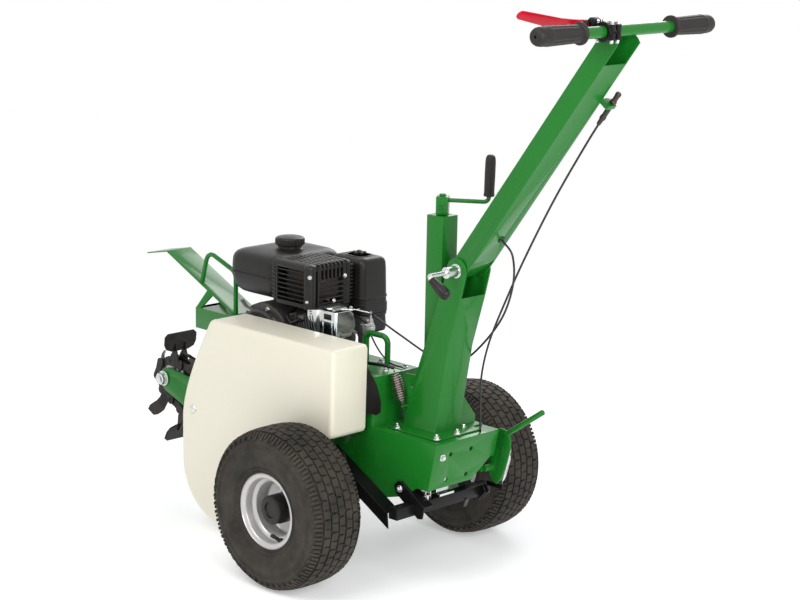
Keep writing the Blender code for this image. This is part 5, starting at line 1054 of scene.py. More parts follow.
# %% [markdown]
# The cylinder lies back from the crankcase with thin cooling fins square to its axis. It is
# built upright, with the height as the distance along the cylinder, and one matrix then lays it
# down. Tilting each fin by itself would need the same matrix eleven times.

# %% Cylinder fins
CYLINDER_TILT = math.radians(15.0)
ENGINE_AXIS = (-0.335, 0.492)


def along_cylinder(distance, across, x):
    """A machine place from a distance along the cylinder and one across it."""
    c, s = math.cos(CYLINDER_TILT), math.sin(CYLINDER_TILT)
    return Vector((x, ENGINE_AXIS[0] + distance * c - across * s,
                   ENGINE_AXIS[1] + distance * s + across * c))


LAY_DOWN = (Matrix.Translation(along_cylinder(0.0, 0.0, 0.0))
            @ Matrix.Rotation(CYLINDER_TILT, 4, "X")
            @ Matrix(((1, 0, 0, 0), (0, 0, 1, 0), (0, 1, 0, 0), (0, 0, 0, 1))))
bm = bmesh.new()
stacked(bm, (-0.034, 0.060), (-0.040, 0.040), [(0.0880, 0.0), (0.1950, 0.0)], 0.030, 8)
FINS, FIN_STEP = 11, 0.0088
for k in range(FINS):
    at = 0.0995 + k * FIN_STEP
    inset = 0.0 if k > 2 else 0.0045
    stacked(bm, (-0.050, 0.080), (-0.055, 0.057), [(at, inset + 0.0008), (at + 0.0005, inset),
            (at + 0.0017, inset), (at + 0.0022, inset + 0.0008)], 0.026, 6)
for x in (0.064, 0.030, -0.012):
    bar(bm, (x, 0.046, 0.0950), (x, 0.046, 0.1960), 0.0045, 16)
bmesh.ops.transform(bm, matrix=LAY_DOWN, verts=bm.verts)
outward(bm, bm.faces)
machine_piece("cylinder_finned", bm, CASTING_DARK, BODY_OF["cylinder_barrel"], "cast_aluminium",
              ("cylinder_barrel",))

# %% [markdown]
# The head wears an eight-sided cover with six short raised bars and a bolt in each corner. Its
# sides are bridged octagons, because a stacked rectangle would have only four flats.

# %% Rocker cover
COVER_X, COVER_ACROSS, CORNER_CUT = 0.017, 0.010, 0.56


def octagon(bm, at, w):
    """Eight edges round the cover's middle at a distance along the cylinder."""
    x, y, c = COVER_X, COVER_ACROSS, w * CORNER_CUT
    corners = [(x - w, y - w + c), (x - w + c, y - w), (x + w - c, y - w), (x + w, y - w + c),
               (x + w, y + w - c), (x + w - c, y + w), (x - w + c, y + w), (x - w, y + w - c)]
    verts = [bm.verts.new((a, b, at)) for a, b in corners]
    return [bm.edges.new((verts[i - 1], verts[i])) for i in range(len(verts))]


bm = bmesh.new()
rings = [octagon(bm, at, size) for at, size in
         ((0.1968, 0.0395), (0.2040, 0.0395), (0.2046, 0.0375), (0.2250, 0.0362), (0.2290, 0.0345),
          (0.2308, 0.0315), (0.2308, 0.0285), (0.2296, 0.0275))]
for low, high in zip(rings, rings[1:]):
    bmesh.ops.bridge_loops(bm, edges=low + high)
for ring in (rings[0], rings[-1]):
    bmesh.ops.contextual_create(bm, geom=ring)
for k in range(6):
    x = -0.0060 + k * 0.0086
    rib(bm, (x, x + 0.0030), (-0.0120, 0.0320), (0.2280, 0.2306), 0.0010)
bmesh.ops.transform(bm, matrix=LAY_DOWN, verts=bm.verts)
outward(bm, bm.faces)
machine_piece("rocker_cover_eight_sided", bm, COVER_CAST, BODY_OF["rocker_cover"], "cast_aluminium",
              ("rocker_cover",), 30.0)
bm = bmesh.new()
cylinder_way = along_cylinder(1.0, 0.0, 0.0) - along_cylinder(0.0, 0.0, 0.0)
for x in (-0.012, 0.046):
    for across in (-0.019, 0.039):
        screw_head(bm, along_cylinder(0.2290, across, x), cylinder_way, 0.0042, 0.0042)
machine_piece("rocker_cover_bolts", bm, ZINC, BODY_OF["rocker_cover"], "zinc_plate")

# %% [markdown]
# A bright folded sheet beside the head turns the exhaust heat away. Its bends are drawn in plan
# as one thin outline and pushed upward, as a press brake would leave them. Low ribs frame its
# flat part, and a dark window sits above them.

# %% Heat shield
bm = bmesh.new()
sheet = [(0.0780, -0.1800), (0.0780, -0.1560), (0.0745, -0.1520), (0.0665, -0.1490),
         (0.0650, -0.1440), (0.0650, -0.1020), (0.0625, -0.0970), (0.0560, -0.0950),
         (0.0560, -0.0962), (0.0618, -0.0980), (0.0638, -0.1025), (0.0638, -0.1445),
         (0.0656, -0.1500), (0.0736, -0.1532), (0.0768, -0.1565), (0.0768, -0.1800)]
soften(bm, plate(bm, sheet, 0.5080, 0.5925, "Z"), 0.0004, 1)
for y_range, z_range in (
        ((-0.1400, -0.1060), (0.5140, 0.5165)), ((-0.1400, -0.1370), (0.5150, 0.5680)),
        ((-0.1090, -0.1060), (0.5150, 0.5680)), ((-0.1400, -0.1060), (0.5660, 0.5690))):
    rib(bm, (0.0640, 0.0672), y_range, z_range, 0.0008)
rib(bm, (-0.0200, 0.0655), (-0.1450, -0.1000), (0.5898, 0.5912), 0.0005)
machine_piece("head_shield_folded", bm, CHROME, BODY_OF["head_shield"], "zinc_plate",
              ("head_shield",))
bm = bmesh.new()
rib(bm, (0.0636, 0.0662), (-0.1360, -0.1100), (0.5720, 0.5860), 0.0020)
machine_piece("head_shield_window", bm, PLASTIC, BODY_OF["head_shield"], "black_plastic")
bm = bmesh.new()
screw_head(bm, (0.0780, -0.1690, 0.5840), LEFT, 0.0040)
screw_head(bm, (0.0652, -0.1230, 0.5220), LEFT, 0.0036)
machine_piece("head_shield_bolts", bm, ZINC, BODY_OF["head_shield"], "zinc_plate")

# %% [markdown]
# Small soft lines make an engine look used: the plug under its rubber cap with the lead that
# leaves it, and the fuel hose from the tank to the carburettor. Both are swept along bent paths,
# like the thin plated rod of the governor. A grey bracket carries that rod on the crankcase side.

# %% Plug lead, fuel hose and governor
bm = bmesh.new()
cap_line = bent([(0.020, -0.196, 0.578), (0.058, -0.196, 0.578), (0.082, -0.206, 0.560)], 0.012, 8)
swept(bm, cap_line, 0.0095, 5)
turned(bm, [(0.0, 0.0), (0.0, 0.0125), (0.0050, 0.0130), (0.0090, 0.0100), (0.0090, 0.0)], 28,
       (0.074, -0.2022, 0.5660), (0.6, -0.25, -0.75))
lead = bent([(0.082, -0.206, 0.560), (0.088, -0.226, 0.548), (0.070, -0.262, 0.560),
             (0.020, -0.270, 0.575), (-0.060, -0.262, 0.560)], 0.012, 6)
swept(bm, lead, 0.0034, 4)
machine_piece("spark_plug_cap_and_lead", bm, CABLE, BODY_OF["cylinder_barrel"], "black_plastic")
bm = bmesh.new()
hose = bent([(-0.060, -0.285, 0.5900), (-0.060, -0.262, 0.5760), (-0.020, -0.120, 0.5700),
             (-0.0230, -0.0880, 0.5640), (-0.0280, -0.0860, 0.5560)], 0.009, 8)
swept(bm, hose, 0.0042, 5)
machine_piece("fuel_hose", bm, CABLE, BODY_OF["carburettor"], "black_plastic")
bm = bmesh.new()
linkage = bent([(-0.046, -0.0905, 0.578), (0.000, -0.0960, 0.592), (0.040, -0.150, 0.5915),
                (0.062, -0.210, 0.5900)], 0.010, 6)
swept(bm, linkage, 0.0014, 3)
machine_piece("governor_rod", bm, ZINC, BODY_OF["carburettor"], "zinc_plate")
bm = bmesh.new()
strip = [(-0.413, 0.5760), (-0.395, 0.5620), (-0.352, 0.5530), (-0.300, 0.5480), (-0.285, 0.5380),
         (-0.282, 0.5160), (-0.288, 0.5160), (-0.291, 0.5350), (-0.303, 0.5430), (-0.353, 0.5480),
         (-0.398, 0.5570), (-0.416, 0.5710)]
soften(bm, plate(bm, strip, 0.0775, 0.0920, "X"), 0.0009, 2)
machine_piece("governor_bracket", bm, CAST, BODY_OF["crankcase"], "cast_aluminium")

# %% [markdown]
# The crankcase closes with a round cast cover. Fifteen upright ribs stand on it, each as long as
# the circle allows at its place, so they follow the cover's edge without any cutting.

# %% Crankcase cover and bolts
COVER_RIBS, RIB_STEP, RIB_CIRCLE = 15, 0.009, 0.068
BOLT_CIRCLE, FOOT_BOLT_X = 0.074, 0.06972
bm = bmesh.new()
for k in range(COVER_RIBS):
    across = -0.063 + k * RIB_STEP
    reach = math.sqrt(max(RIB_CIRCLE ** 2 - across ** 2, 0.0004))
    y, z = ENGINE_AXIS[0] + across, ENGINE_AXIS[1]
    rib(bm, (0.0920, 0.1010), (y - 0.0014, y + 0.0014), (z - reach, z + reach), 0.0006, 1)
rim = [(0.0, 0.0), (0.0, 0.071), (0.0020, 0.073), (0.0060, 0.073), (0.0080, 0.070), (0.0080, 0.0)]
turned(bm, rim, 64, (0.0900, *ENGINE_AXIS))
machine_piece("crankcase_ribbed_cover", bm, CASTING_DARK, BODY_OF["crankcase"], "cast_aluminium")
bm = bmesh.new()
screw_head(bm, (0.0921, -0.3000, 0.5440), LEFT, 0.0045)
for angle in (35, 80, 130, 175, 215, 320):
    y = ENGINE_AXIS[0] + BOLT_CIRCLE * math.cos(math.radians(angle))
    z = ENGINE_AXIS[1] + BOLT_CIRCLE * math.sin(math.radians(angle))
    screw_head(bm, (0.0780, y, z), LEFT, 0.0052, 0.0050)
for x in (-FOOT_BOLT_X, FOOT_BOLT_X):
    for y in (-0.410, -0.232):
        screw_head(bm, (x, y, 0.4045), UP, 0.0062, 0.0062)
machine_piece("crankcase_bolts", bm, ZINC, BODY_OF["crankcase"], "zinc_plate")

# %% [markdown]
# The recoil starter is a round drum on the far side, hidden in the picture but seen when the
# machine is turned. It is one turned shell with a ring of short ribs, each made at the origin
# and turned to its place. The pull grip is a small rounded bar at the front.

# %% Recoil starter and grip
DRUM_RIBS = 24
bm = bmesh.new()
shell = [(0.0803, 0.0), (0.0803, 0.0900), (0.0830, 0.0912), (0.1150, 0.0912), (0.1200, 0.0905),
         (0.1262, 0.0875), (0.1290, 0.0820), (0.1300, 0.0720), (0.1340, 0.0690), (0.1440, 0.0625),
         (0.1468, 0.0585), (0.1480, 0.0500), (0.1480, 0.0300), (0.1494, 0.0270), (0.1498, 0.0)]
turned(bm, [(-a, r) for a, r in shell], 72, (0.0, *ENGINE_AXIS))
for k in range(DRUM_RIBS):
    before = set(bm.verts)
    rib(bm, (-0.1488, -0.1460), (0.0310, 0.0560), (-0.0016, 0.0016), 0.0006, 1)
    place = (Matrix.Translation((0.0, *ENGINE_AXIS))
             @ Matrix.Rotation(2 * math.pi * k / DRUM_RIBS, 4, "X"))
    bmesh.ops.transform(bm, matrix=place, verts=since(bm, before))
machine_piece("recoil_drum", bm, PLASTIC, BODY_OF["fan_cover"], "black_plastic", ("fan_cover",))
bm = bmesh.new()
stacked(bm, (-0.1515, -0.1025), (-0.4615, -0.4430), [(0.4745, 0.0050), (0.4760, 0.0020),
        (0.4785, 0.0004), (0.4855, 0.0004), (0.4880, 0.0020), (0.4895, 0.0050)], 0.0085, 8)
bar(bm, (-0.122, -0.4440, 0.482), (-0.122, -0.4262, 0.482), 0.0032, 16)
machine_piece("recoil_grip_moulded", bm, PLASTIC, BODY_OF["recoil_grip"], "black_plastic",
              ("recoil_grip",))

# %% [markdown]
# The digging chain is the busiest part. Its pitch line wraps the sprocket, sags along the lower
# run, turns round the nose and comes back straight. A curve modifier would stretch the links in
# the bends, so the pins are spaced evenly on the line and each link is placed between two.

# %% Pitch line and pins
DRIVE_AXIS, TILT, REACH, SAG = (-0.340, 0.185), math.radians(13.3), 0.462, 0.020
LINKS, PITCH, SPROCKET_TEETH, NOSE_TEETH = 34, 0.041508, 16, 7
BIG, SMALL = (PITCH * teeth / (2 * math.pi) for teeth in (SPROCKET_TEETH, NOSE_TEETH))


def boom_spot(x, along, above):
    """A place in the frame from a distance along the boom and a height above its middle."""
    c, s = math.cos(TILT), math.sin(TILT)
    return spot(x, DRIVE_AXIS[0] - along * c + above * s, DRIVE_AXIS[1] + along * s + above * c)


def pitch_line(steps=400):
    """The closed line of the pins, seen from the side."""
    top = math.degrees(math.pi / 2 - math.asin((BIG - SMALL) / REACH))
    rear = [Vector(p) for p in arc((0.0, 0.0), BIG, top, 360 - top, 300)]
    front = [Vector(p) for p in arc((REACH, 0.0), SMALL, -top, top, 140)]
    low, high = [], []
    for k in range(1, steps):
        t = k / steps
        low.append(rear[-1].lerp(front[0], t) - Vector((0.0, 4 * SAG * t * (1 - t))))
        high.append(front[-1].lerp(rear[0], t))
    return rear + low + front + high


def even_pins(line):
    """As many pins as links, evenly spaced along the line."""
    steps = [(b - a).length for a, b in zip(line, line[1:] + line[:1])]
    pitch = sum(steps) / LINKS
    pins, travelled = [], 0.0
    for point, step in zip(line, steps):
        if travelled >= len(pins) * pitch - 1e-9 and len(pins) < LINKS:
            pins.append(point)
        travelled += step
    return pins


PINS = even_pins(pitch_line())
print("pins", len(PINS), "pitch mm", round(1000 * (PINS[1] - PINS[0]).length, 1))

# %% [markdown]
# A link is made once, flat, with y along the chain and z outward: two round-ended plates with a
# waist and a riveted pin between them. Inner and outer links differ in where their plates stand
# and how long the pin is. Each is kept as a template, which keeps the whole chain light to build.

# %% Links
def link_template(near, far, reach):
    """A link whose plates lie between two distances from the middle, with one pin."""
    bm = bmesh.new()
    half, end = 0.02055, 0.0126
    outline = arc((half, 0.0), end, -78, 78, 8) + [(0.0, 0.0098)]
    outline += arc((-half, 0.0), end, 102, 258, 8) + [(0.0, -0.0098)]
    for side in (1, -1):
        verts = plate(bm, outline, *sorted((side * near, side * far)))
        soften(bm, verts, 0.0008, 1, 50.0)
    pin = [(-reach, 0.0), (-reach, 0.0030), (-reach + 0.0010, 0.0046), (-reach + 0.0024, 0.0052),
           (reach - 0.0024, 0.0052), (reach - 0.0010, 0.0046), (reach, 0.0030), (reach, 0.0)]
    turned(bm, pin, 20, (0.0, -half, 0.0))
    return bm


def keep_mesh(bm):
    """Stores a bmesh as a template mesh."""
    mesh = bpy.data.meshes.new("template")
    bm.to_mesh(mesh)
    bm.free()
    return mesh


INNER_LINK = keep_mesh(link_template(0.0090, 0.0131, 0.0131))
OUTER_LINK = keep_mesh(link_template(0.0134, 0.0174, 0.0192))
print("link template faces", len(OUTER_LINK.polygons))

# %% [markdown]
# Cutters do the digging. A broad plate with cut corners stands on two gussets and clears the
# floor of the trench, and strips that rise beside the chain and bend out into cupped teeth shave
# its two walls. The cup is a square law across the strip, so no sculpting is needed.

# %% Cutters
def wide_cutter():
    """A broad chamfered plate across the chain, on two gussets."""
    bm = bmesh.new()
    face = [(-0.028, 0.034), (-0.046, 0.041), (-0.053, 0.054), (-0.053, 0.076), (-0.043, 0.0845)]
    face += [(-x, z) for x, z in reversed(face)]
    soften(bm, plate(bm, face, -0.0022, 0.0022, "Y"), 0.0007, 1, 50.0)
    gusset = [(-0.0165, 0.004), (0.0165, 0.004), (0.0150, 0.018), (0.0085, 0.034),
              (0.0060, 0.054), (-0.0060, 0.054), (-0.0085, 0.030), (-0.0155, 0.018)]
    for side in (1, -1):
        verts = plate(bm, gusset, *sorted((side * 0.0137, side * 0.0180)))
        soften(bm, verts, 0.0006, 1, 50.0)
    return bm


def side_cutter(side):
    """A strip that rises beside the chain and bends out into a cupped tooth."""
    bm = bmesh.new()
    line = [(0.0158, 0.004), (0.0158, 0.020), (0.0180, 0.0275), (0.0235, 0.0335), (0.0330, 0.0400),
            (0.0420, 0.0465), (0.0470, 0.0540)]
    widths = [0.0150, 0.0150, 0.0160, 0.0180, 0.0190, 0.0180, 0.0120]
    rows = []
    for k, ((x, z), wide) in enumerate(zip(line, widths)):
        ahead = Vector(line[min(k + 1, 6)]) - Vector(line[max(k - 1, 0)])
        off = Vector((ahead.y, -ahead.x)).normalized() * 0.0021
        ring = []
        for y, hand in ((-wide, 1), (wide, 1), (wide, -1), (-wide, -1)):
            cup = 0.0035 * (y / 0.019) ** 2 * (k > 2)
            ring.append(bm.verts.new((side * (x + hand * off.x - cup), y, z + hand * off.y + cup)))
        rows.append(ring)
    for low, high in zip(rows, rows[1:]):
        for k in range(4):
            bm.faces.new((low[k - 1], low[k], high[k], high[k - 1]))
    bm.faces.new(rows[0])
    bm.faces.new(rows[-1])
    outward(bm, bm.faces)
    return bm


CUTTERS = [keep_mesh(wide_cutter()), keep_mesh(side_cutter(1)), keep_mesh(side_cutter(-1))]
print("cutter template faces", [len(mesh.polygons) for mesh in CUTTERS])

# %% [markdown]
# The templates are stamped round the loop. One matrix per link holds the directions across, along
# and away from the chain, and every second link carries one of the three cutters in turn.

# %% Digging chain
FIRST_CUTTER = 23


def stamp(bm, mesh, place):
    """Adds a template's mesh at a place."""
    before = len(bm.verts)
    bm.from_mesh(mesh)
    bm.verts.ensure_lookup_table()
    bmesh.ops.transform(bm, matrix=place, verts=bm.verts[before:])


bm = bmesh.new()
for index, pin in enumerate(PINS):
    after = PINS[(index + 1) % LINKS]
    ahead, middle = (after - pin).normalized(), (pin + after) / 2
    centre, tip = boom_spot(0.0, *middle), boom_spot(0.0, *(middle + ahead))
    y_way = (tip - centre).normalized()
    z_way = Vector(LEFT).cross(y_way)
    if z_way.dot(centre - boom_spot(0.0, *(middle + Vector((ahead.y, -ahead.x))))) > 0:
        z_way = -z_way
    turn = Matrix((Vector(LEFT), y_way, z_way)).transposed().to_4x4()
    place = Matrix.Translation(centre) @ turn
    stamp(bm, OUTER_LINK if index % 2 else INNER_LINK, place)
    if index % 2:
        stamp(bm, CUTTERS[(index - FIRST_CUTTER) // 2 % len(CUTTERS)], place)
outward(bm, bm.faces)
add_piece("digging_chain_links", bm, CHAIN, BODY_OF["digging_chain"], "chain_steel",
          ("digging_chain",), 30.0)

# %% [markdown]
# The sprocket's gaps are arcs a little wider than the pins, so the pins visibly sit in it. Its
# outline is walked tooth by tooth, starting from the first pin so that chain and wheel mesh. The
# drive shaft is one turned profile through its middle.

# %% Sprocket and drive shaft
SEAT_RADIUS, TOOTH_ANGLE = 0.0066, 2 * math.pi / SPROCKET_TEETH
bm = bmesh.new()
start = math.atan2(PINS[0].y, PINS[0].x)
outline = []
for k in range(SPROCKET_TEETH):
    gap = start + k * TOOTH_ANGLE
    seat = Vector((BIG * math.cos(gap), BIG * math.sin(gap)))
    for turn_by in (-62, -40, -20, 0, 20, 40, 62):
        angle = gap + math.pi + math.radians(turn_by)
        outline.append(seat + Vector((math.cos(angle), math.sin(angle))) * SEAT_RADIUS)
    for share, rise in ((0.37, 0.0030), (0.43, 0.0052), (0.57, 0.0052), (0.63, 0.0030)):
        angle, reach = gap + share * TOOTH_ANGLE, BIG + rise
        outline.append(Vector((reach * math.cos(angle), reach * math.sin(angle))))
wheel = [boom_spot(0.0, *p) for p in outline]
soften(bm, plate(bm, [(p.y, p.z) for p in wheel], -0.0062, 0.0062), 0.0008, 1, 60.0)
shaft = [(-0.128, 0.0), (-0.128, 0.0115), (-0.127, 0.0125), (-0.024, 0.0125), (-0.023, 0.026),
         (-0.0215, 0.0275), (0.0215, 0.0275), (0.023, 0.026), (0.024, 0.0125), (0.175, 0.0125),
         (0.176, 0.0115), (0.176, 0.0)]
turned(bm, shaft, 48, spot(0.0, *DRIVE_AXIS))
add_piece("drive_shaft_sprocket", bm, STEEL, BODY_OF["drive_shaft"], "steel", ("drive_shaft",))

# %% [markdown]
# At the nose the chain runs over a plain turned roller. A big plated nut and washer close its
# axle on each side, and the stud's end shows a few turns of thread, drawn as a zigzag profile: a
# true helix would cost far more faces and look the same from here.

# %% Nose roller and axle nuts
bm = bmesh.new()
roller = [(-0.0085, 0.0085), (-0.0085, 0.0395), (-0.0078, 0.0403), (0.0078, 0.0403),
          (0.0085, 0.0395), (0.0085, 0.0085)]
turned(bm, roller, 64, boom_spot(0.0, REACH, 0.0))
add_piece("nose_roller_turned", bm, STEEL, BODY_OF["nose_roller"], "steel", ("nose_roller",))
washer = [(0.0, 0.0), (0.0, 0.0190), (0.0006, 0.0200), (0.0026, 0.0200), (0.0032, 0.0192),
          (0.0032, 0.0)]
nut = [(0.0, 0.0), (0.0, 0.0150), (0.0014, 0.0166), (0.0116, 0.0166), (0.0132, 0.0146),
       (0.0132, 0.0)]
stud = [(0.0, 0.0)] + [(0.0006 * k, 0.0098 if k % 2 else 0.0088) for k in range(1, 8)]
stud += [(0.0050, 0.0)]
bm = bmesh.new()
for side in (1, -1):
    for profile, steps, x in ((washer, 48, 0.0292), (nut, 6, 0.0322), (stud, 32, 0.0448)):
        turned(bm, profile, steps, boom_spot(side * x, REACH, 0.0), (side, 0.0, 0.0))
add_piece("nose_axle_nuts", bm, ZINC, BODY_OF["boom_bar"], "zinc_plate")

# %% [markdown]
# The wheel carriage swings about a pivot in front of the axle and lets the boom down. Each side
# has an axle plate, a rail that slopes back with a folded upper edge, and a stub axle in its
# sleeve. The plates are outlines seen from the side, so five points place the rails of both sides.

# %% Carriage rails and axles
PIVOT = (-0.110, 0.255)


def cut_plate(bm, outline, x_range, width=0.0007):
    """A flat piece of sheet seen from the side, with its edges broken."""
    soften(bm, plate(bm, outline, *sorted(x_range)), width, 1)


axle_plate = arc(PIVOT, 0.024, 100, 250, 10) + arc((0.0, WHEEL_Z), 0.028, 250, 360, 8)
axle_plate += [(0.046, 0.260), (0.030, 0.296), (-0.010, 0.300), (-0.060, 0.286)]
rail = [(-0.034, 0.294), (0.173, 0.182), (0.177, 0.144), (0.100, 0.186), (-0.050, 0.267)]
fold = [(-0.034, 0.294), (0.173, 0.182), (0.1714, 0.1786), (-0.0356, 0.2906)]
sleeve = [(0.0, 0.0), (0.0, 0.018), (0.108, 0.018), (0.1082, 0.0)]
stub = [(0.0, 0.0), (0.0, 0.0125), (0.196, 0.0125), (0.1972, 0.0115), (0.1972, 0.0)]
bm = bmesh.new()
for side in (1, -1):
    cut_plate(bm, axle_plate, (side * 0.1500, side * 0.1540))
    cut_plate(bm, rail, (side * 0.1470, side * 0.1510))
    cut_plate(bm, fold, (side * 0.1120, side * 0.1505), 0.0010)
    for profile in (sleeve, stub):
        turned(bm, profile, 32, (side * 0.151, 0.0, WHEEL_Z), (side, 0.0, 0.0))
bar(bm, (-0.152, *PIVOT), (0.152, *PIVOT), 0.015, 32)
print("carriage so far", len(bm.faces), "faces")

# %% [markdown]
# The rails end on a square cross tube, which the jack's leg pushes down. Folded tabs with sharp
# corners stand on it, and a small plate lies where the lock spring ends. They go into the same
# mesh, since they are welded to the rails and have the same paint.

# %% Cross tube and tabs of the carriage
CROSS = (0.205, 0.190)
tube = block(bm, (-0.151, 0.164), *((middle - 0.014, middle + 0.014) for middle in CROSS))
soften(bm, tube, 0.0022, 2)
cut_plate(bm, [(0.154, 0.236), (0.164, 0.247), (0.178, 0.250), (0.252, 0.204), (0.246, 0.175),
               (0.232, 0.172), (0.160, 0.218)], (0.1060, 0.1100))
cut_plate(bm, [(0.178, 0.250), (0.252, 0.204), (0.2505, 0.1995), (0.1765, 0.2455)],
          (0.0800, 0.1095), 0.0006)
cut_plate(bm, [(0.170, 0.212), (0.190, 0.218), (0.212, 0.176), (0.201, 0.153), (0.182, 0.170)],
          (-0.0900, -0.0860))
tab = [(-0.0880, 0.2010, 0.153), (-0.0640, 0.2130, 0.160), (-0.0640, 0.2230, 0.182),
       (-0.0880, 0.2110, 0.176)]
soften(bm, slab(bm, tab, (0.0016, -0.0032, 0.0)), 0.0005, 1)
for x in (-0.128, -0.117):
    cut_plate(bm, [(0.196, 0.198), (0.226, 0.206), (0.236, 0.190), (0.214, 0.166), (0.196, 0.176)],
              (x - 0.0018, x + 0.0018))
soften(bm, block(bm, (-0.1446, -0.1404), (0.216, 0.266), (0.1975, 0.2095)), 0.0006, 1)
machine_piece("carriage_rails_and_tabs", bm, BLACK, "carriage", "black_paint",
              ("wheel_carriage",))

# %% [markdown]
# Fasteners are what the eye uses to judge size. One helper makes a bolt with a washer, a nut and
# a rounded thread end, pointing any way, and a list places them where the photo shows them.

# %% Bolts, nuts and washers
def bolt(bm, place, direction, radius=0.0058, washer=0.0095, end=0.006):
    """A washer, a six-sided nut and, unless its length is zero, the thread's rounded end."""
    way = Vector(direction).normalized()
    place = Vector(place) - way * 0.0006
    turned(bm, [(0.0, 0.0), (0.0, washer - 0.0004), (0.0004, washer), (0.0018, washer),
                (0.0022, washer - 0.0004), (0.0022, 0.0)], 28, place, way)
    turned(bm, [(0.0020, 0.0), (0.0020, radius), (0.0028, radius * 1.12), (0.0066, radius * 1.12),
                (0.0076, radius * 0.94), (0.0076, 0.0)], 6, place, way)
    if end:
        turned(bm, [(0.0070, 0.0), (0.0070, radius * 0.58), (0.0070 + end * 0.8, radius * 0.58),
                    (0.0070 + end, radius * 0.42), (0.0070 + end, 0.0)], 20, place, way)


REAR_WAY = (0.0, 0.9786, -0.206)
bm = bmesh.new()
for x, y in ((0.078, 0.130), (0.078, 0.256), (0.010, 0.256), (-0.094, 0.168)):
    bolt(bm, (x, y, 0.3616), UP)
bolt(bm, (-0.043, 0.226, 0.3616), UP, 0.0042, 0.0065, 0.0)
for x, y in ((-0.013, -0.019), (-0.022, 0.053), (0.040, -0.019), (0.040, 0.050)):
    bolt(bm, (x, y, 0.4752), UP, 0.0045, 0.0080, 0.002)
bolt(bm, (0.077, 0.2747, 0.322), REAR_WAY, 0.0052, 0.0085, 0.0)
for side in (1, -1):
    for y in (-0.410, -0.235):
        bolt(bm, (side * 0.1002, y, 0.372), (side, 0.0, 0.0), 0.0050, 0.0080, 0.002)
bolt(bm, (0.078, 0.228, 0.2215), (0.0, 0.3, -1.0), 0.0055, 0.0090, 0.008)
for x in (0.088, -0.088):
    for y in (-0.405, -0.240):
        bolt(bm, (x, y, 0.4040), UP, 0.0050, 0.0080, 0.003)
machine_piece("frame_bolts", bm, ZINC, "frame", "zinc_plate")

bm = bmesh.new()
bolt(bm, (0.1100, 0.173, 0.231), LEFT, 0.0055, 0.0090, 0.003)
for side in (1, -1):
    bolt(bm, (side * 0.154, *PIVOT), (side, 0.0, 0.0), 0.0080, 0.0130, 0.004)
thin_pin = [(0.0, 0.0), (0.0, 0.0016), (0.024, 0.0016), (0.0245, 0.0010), (0.0245, 0.0)]
for x in (0.058, 0.042):
    turned(bm, thin_pin, 14, (x, 0.206, 0.2035), UP)
machine_piece("carriage_bolts", bm, ZINC, "carriage", "zinc_plate")

bm = bmesh.new()
head = [(0.0, 0.0), (0.0, 0.0098), (0.0010, 0.0104), (0.0026, 0.0096), (0.0042, 0.0070),
        (0.0048, 0.0034), (0.0048, 0.0)]
turned(bm, head, 40, (0.2246, -0.431, 0.317), LEFT)
machine_piece("guard_fastener", bm, ZINC, "frame", "zinc_plate")

# %% [markdown]
# Springs are wound from one smooth wire whose ends run straight to their hooks. The close turns
# catch the light as a row of bright arcs, which a faceted coil does not. Each spring hangs
# between hooks on two bodies, with its place fixed in its mesh.

# %% Springs
def coil_points(start, end, radius, turns, lead, per_turn=20):
    """Points of a coil between two hooks, with straight leads at both ends."""
    start, end = Vector(start), Vector(end)
    frame_turn = aim(end - start)
    length = (end - start).length
    points = []
    for k in range(int(turns * per_turn) + 1):
        t = k / (turns * per_turn)
        angle = 2 * math.pi * turns * t
        ease = min(1.0, 6 * t, 6 * (1 - t)) ** 0.5 if 0 < t < 1 else 0.0
        local = Vector((lead + (length - 2 * lead) * t, radius * ease * math.cos(angle),
                        radius * ease * math.sin(angle)))
        points.append(start + frame_turn @ local)
    return [start] + points + [end]


def bridging_piece(name, bm, finish, bodies, node):
    """A closed piece between two bodies, with its place baked into its mesh; it rides on neither.
    """
    bmesh.ops.translate(bm, verts=bm.verts, vec=(0.0, AXLE_Y, 0.0))
    obj = object_from(name, bm, finish)
    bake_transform(obj)
    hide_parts(node)
    print(f"{name}: {len(obj.data.polygons)} faces from {bodies[0]} to {bodies[1]}")


CLUTCH_HOOKS = ((0.056, 0.1245, 0.4115), (0.056, 0.094, 0.4889))
bm = bmesh.new()
swept(bm, coil_points(*CLUTCH_HOOKS, 0.0115, 13, 0.006), 0.0018, 2)
bridging_piece("clutch_spring_wound", bm, SPRING, ("frame", "idler"),
               "clutch_spring")
LOCK_HOOKS = ((-0.1425, 0.262, 0.2100), (-0.1425, 0.287, 0.2965))
bm = bmesh.new()
swept(bm, coil_points(*LOCK_HOOKS, 0.0042, 24, 0.010), 0.0011, 2)
bridging_piece("lock_spring_wound", bm, ZINC, ("frame", "lock"),
               "lock_spring")

# %% [markdown]
# The hand grips are turned, then their radius is made to vary round the axis to press the flutes
# in. The same helper with other numbers gives the knob of the quick clamp. The bar itself is a
# plain turned tube with its ends broken.

# %% Grips and handlebar
def fluted(bm, profile, steps, centre, direction, span, flutes, depth):
    """A turned shape whose radius dips in flutes between two places along its axis."""
    verts = turned(bm, profile, steps, (0.0, 0.0, 0.0))
    for v in verts:
        if span[0] < v.co.x < span[1]:
            wave = (0.5 + 0.5 * math.cos(flutes * math.atan2(v.co.z, v.co.y))) ** 3
            inward = 1.0 - depth * wave / max(Vector((v.co.y, v.co.z)).length, 0.001)
            v.co.y *= inward
            v.co.z *= inward
    bmesh.ops.transform(bm, matrix=Matrix.Translation(centre) @ aim(direction), verts=verts)


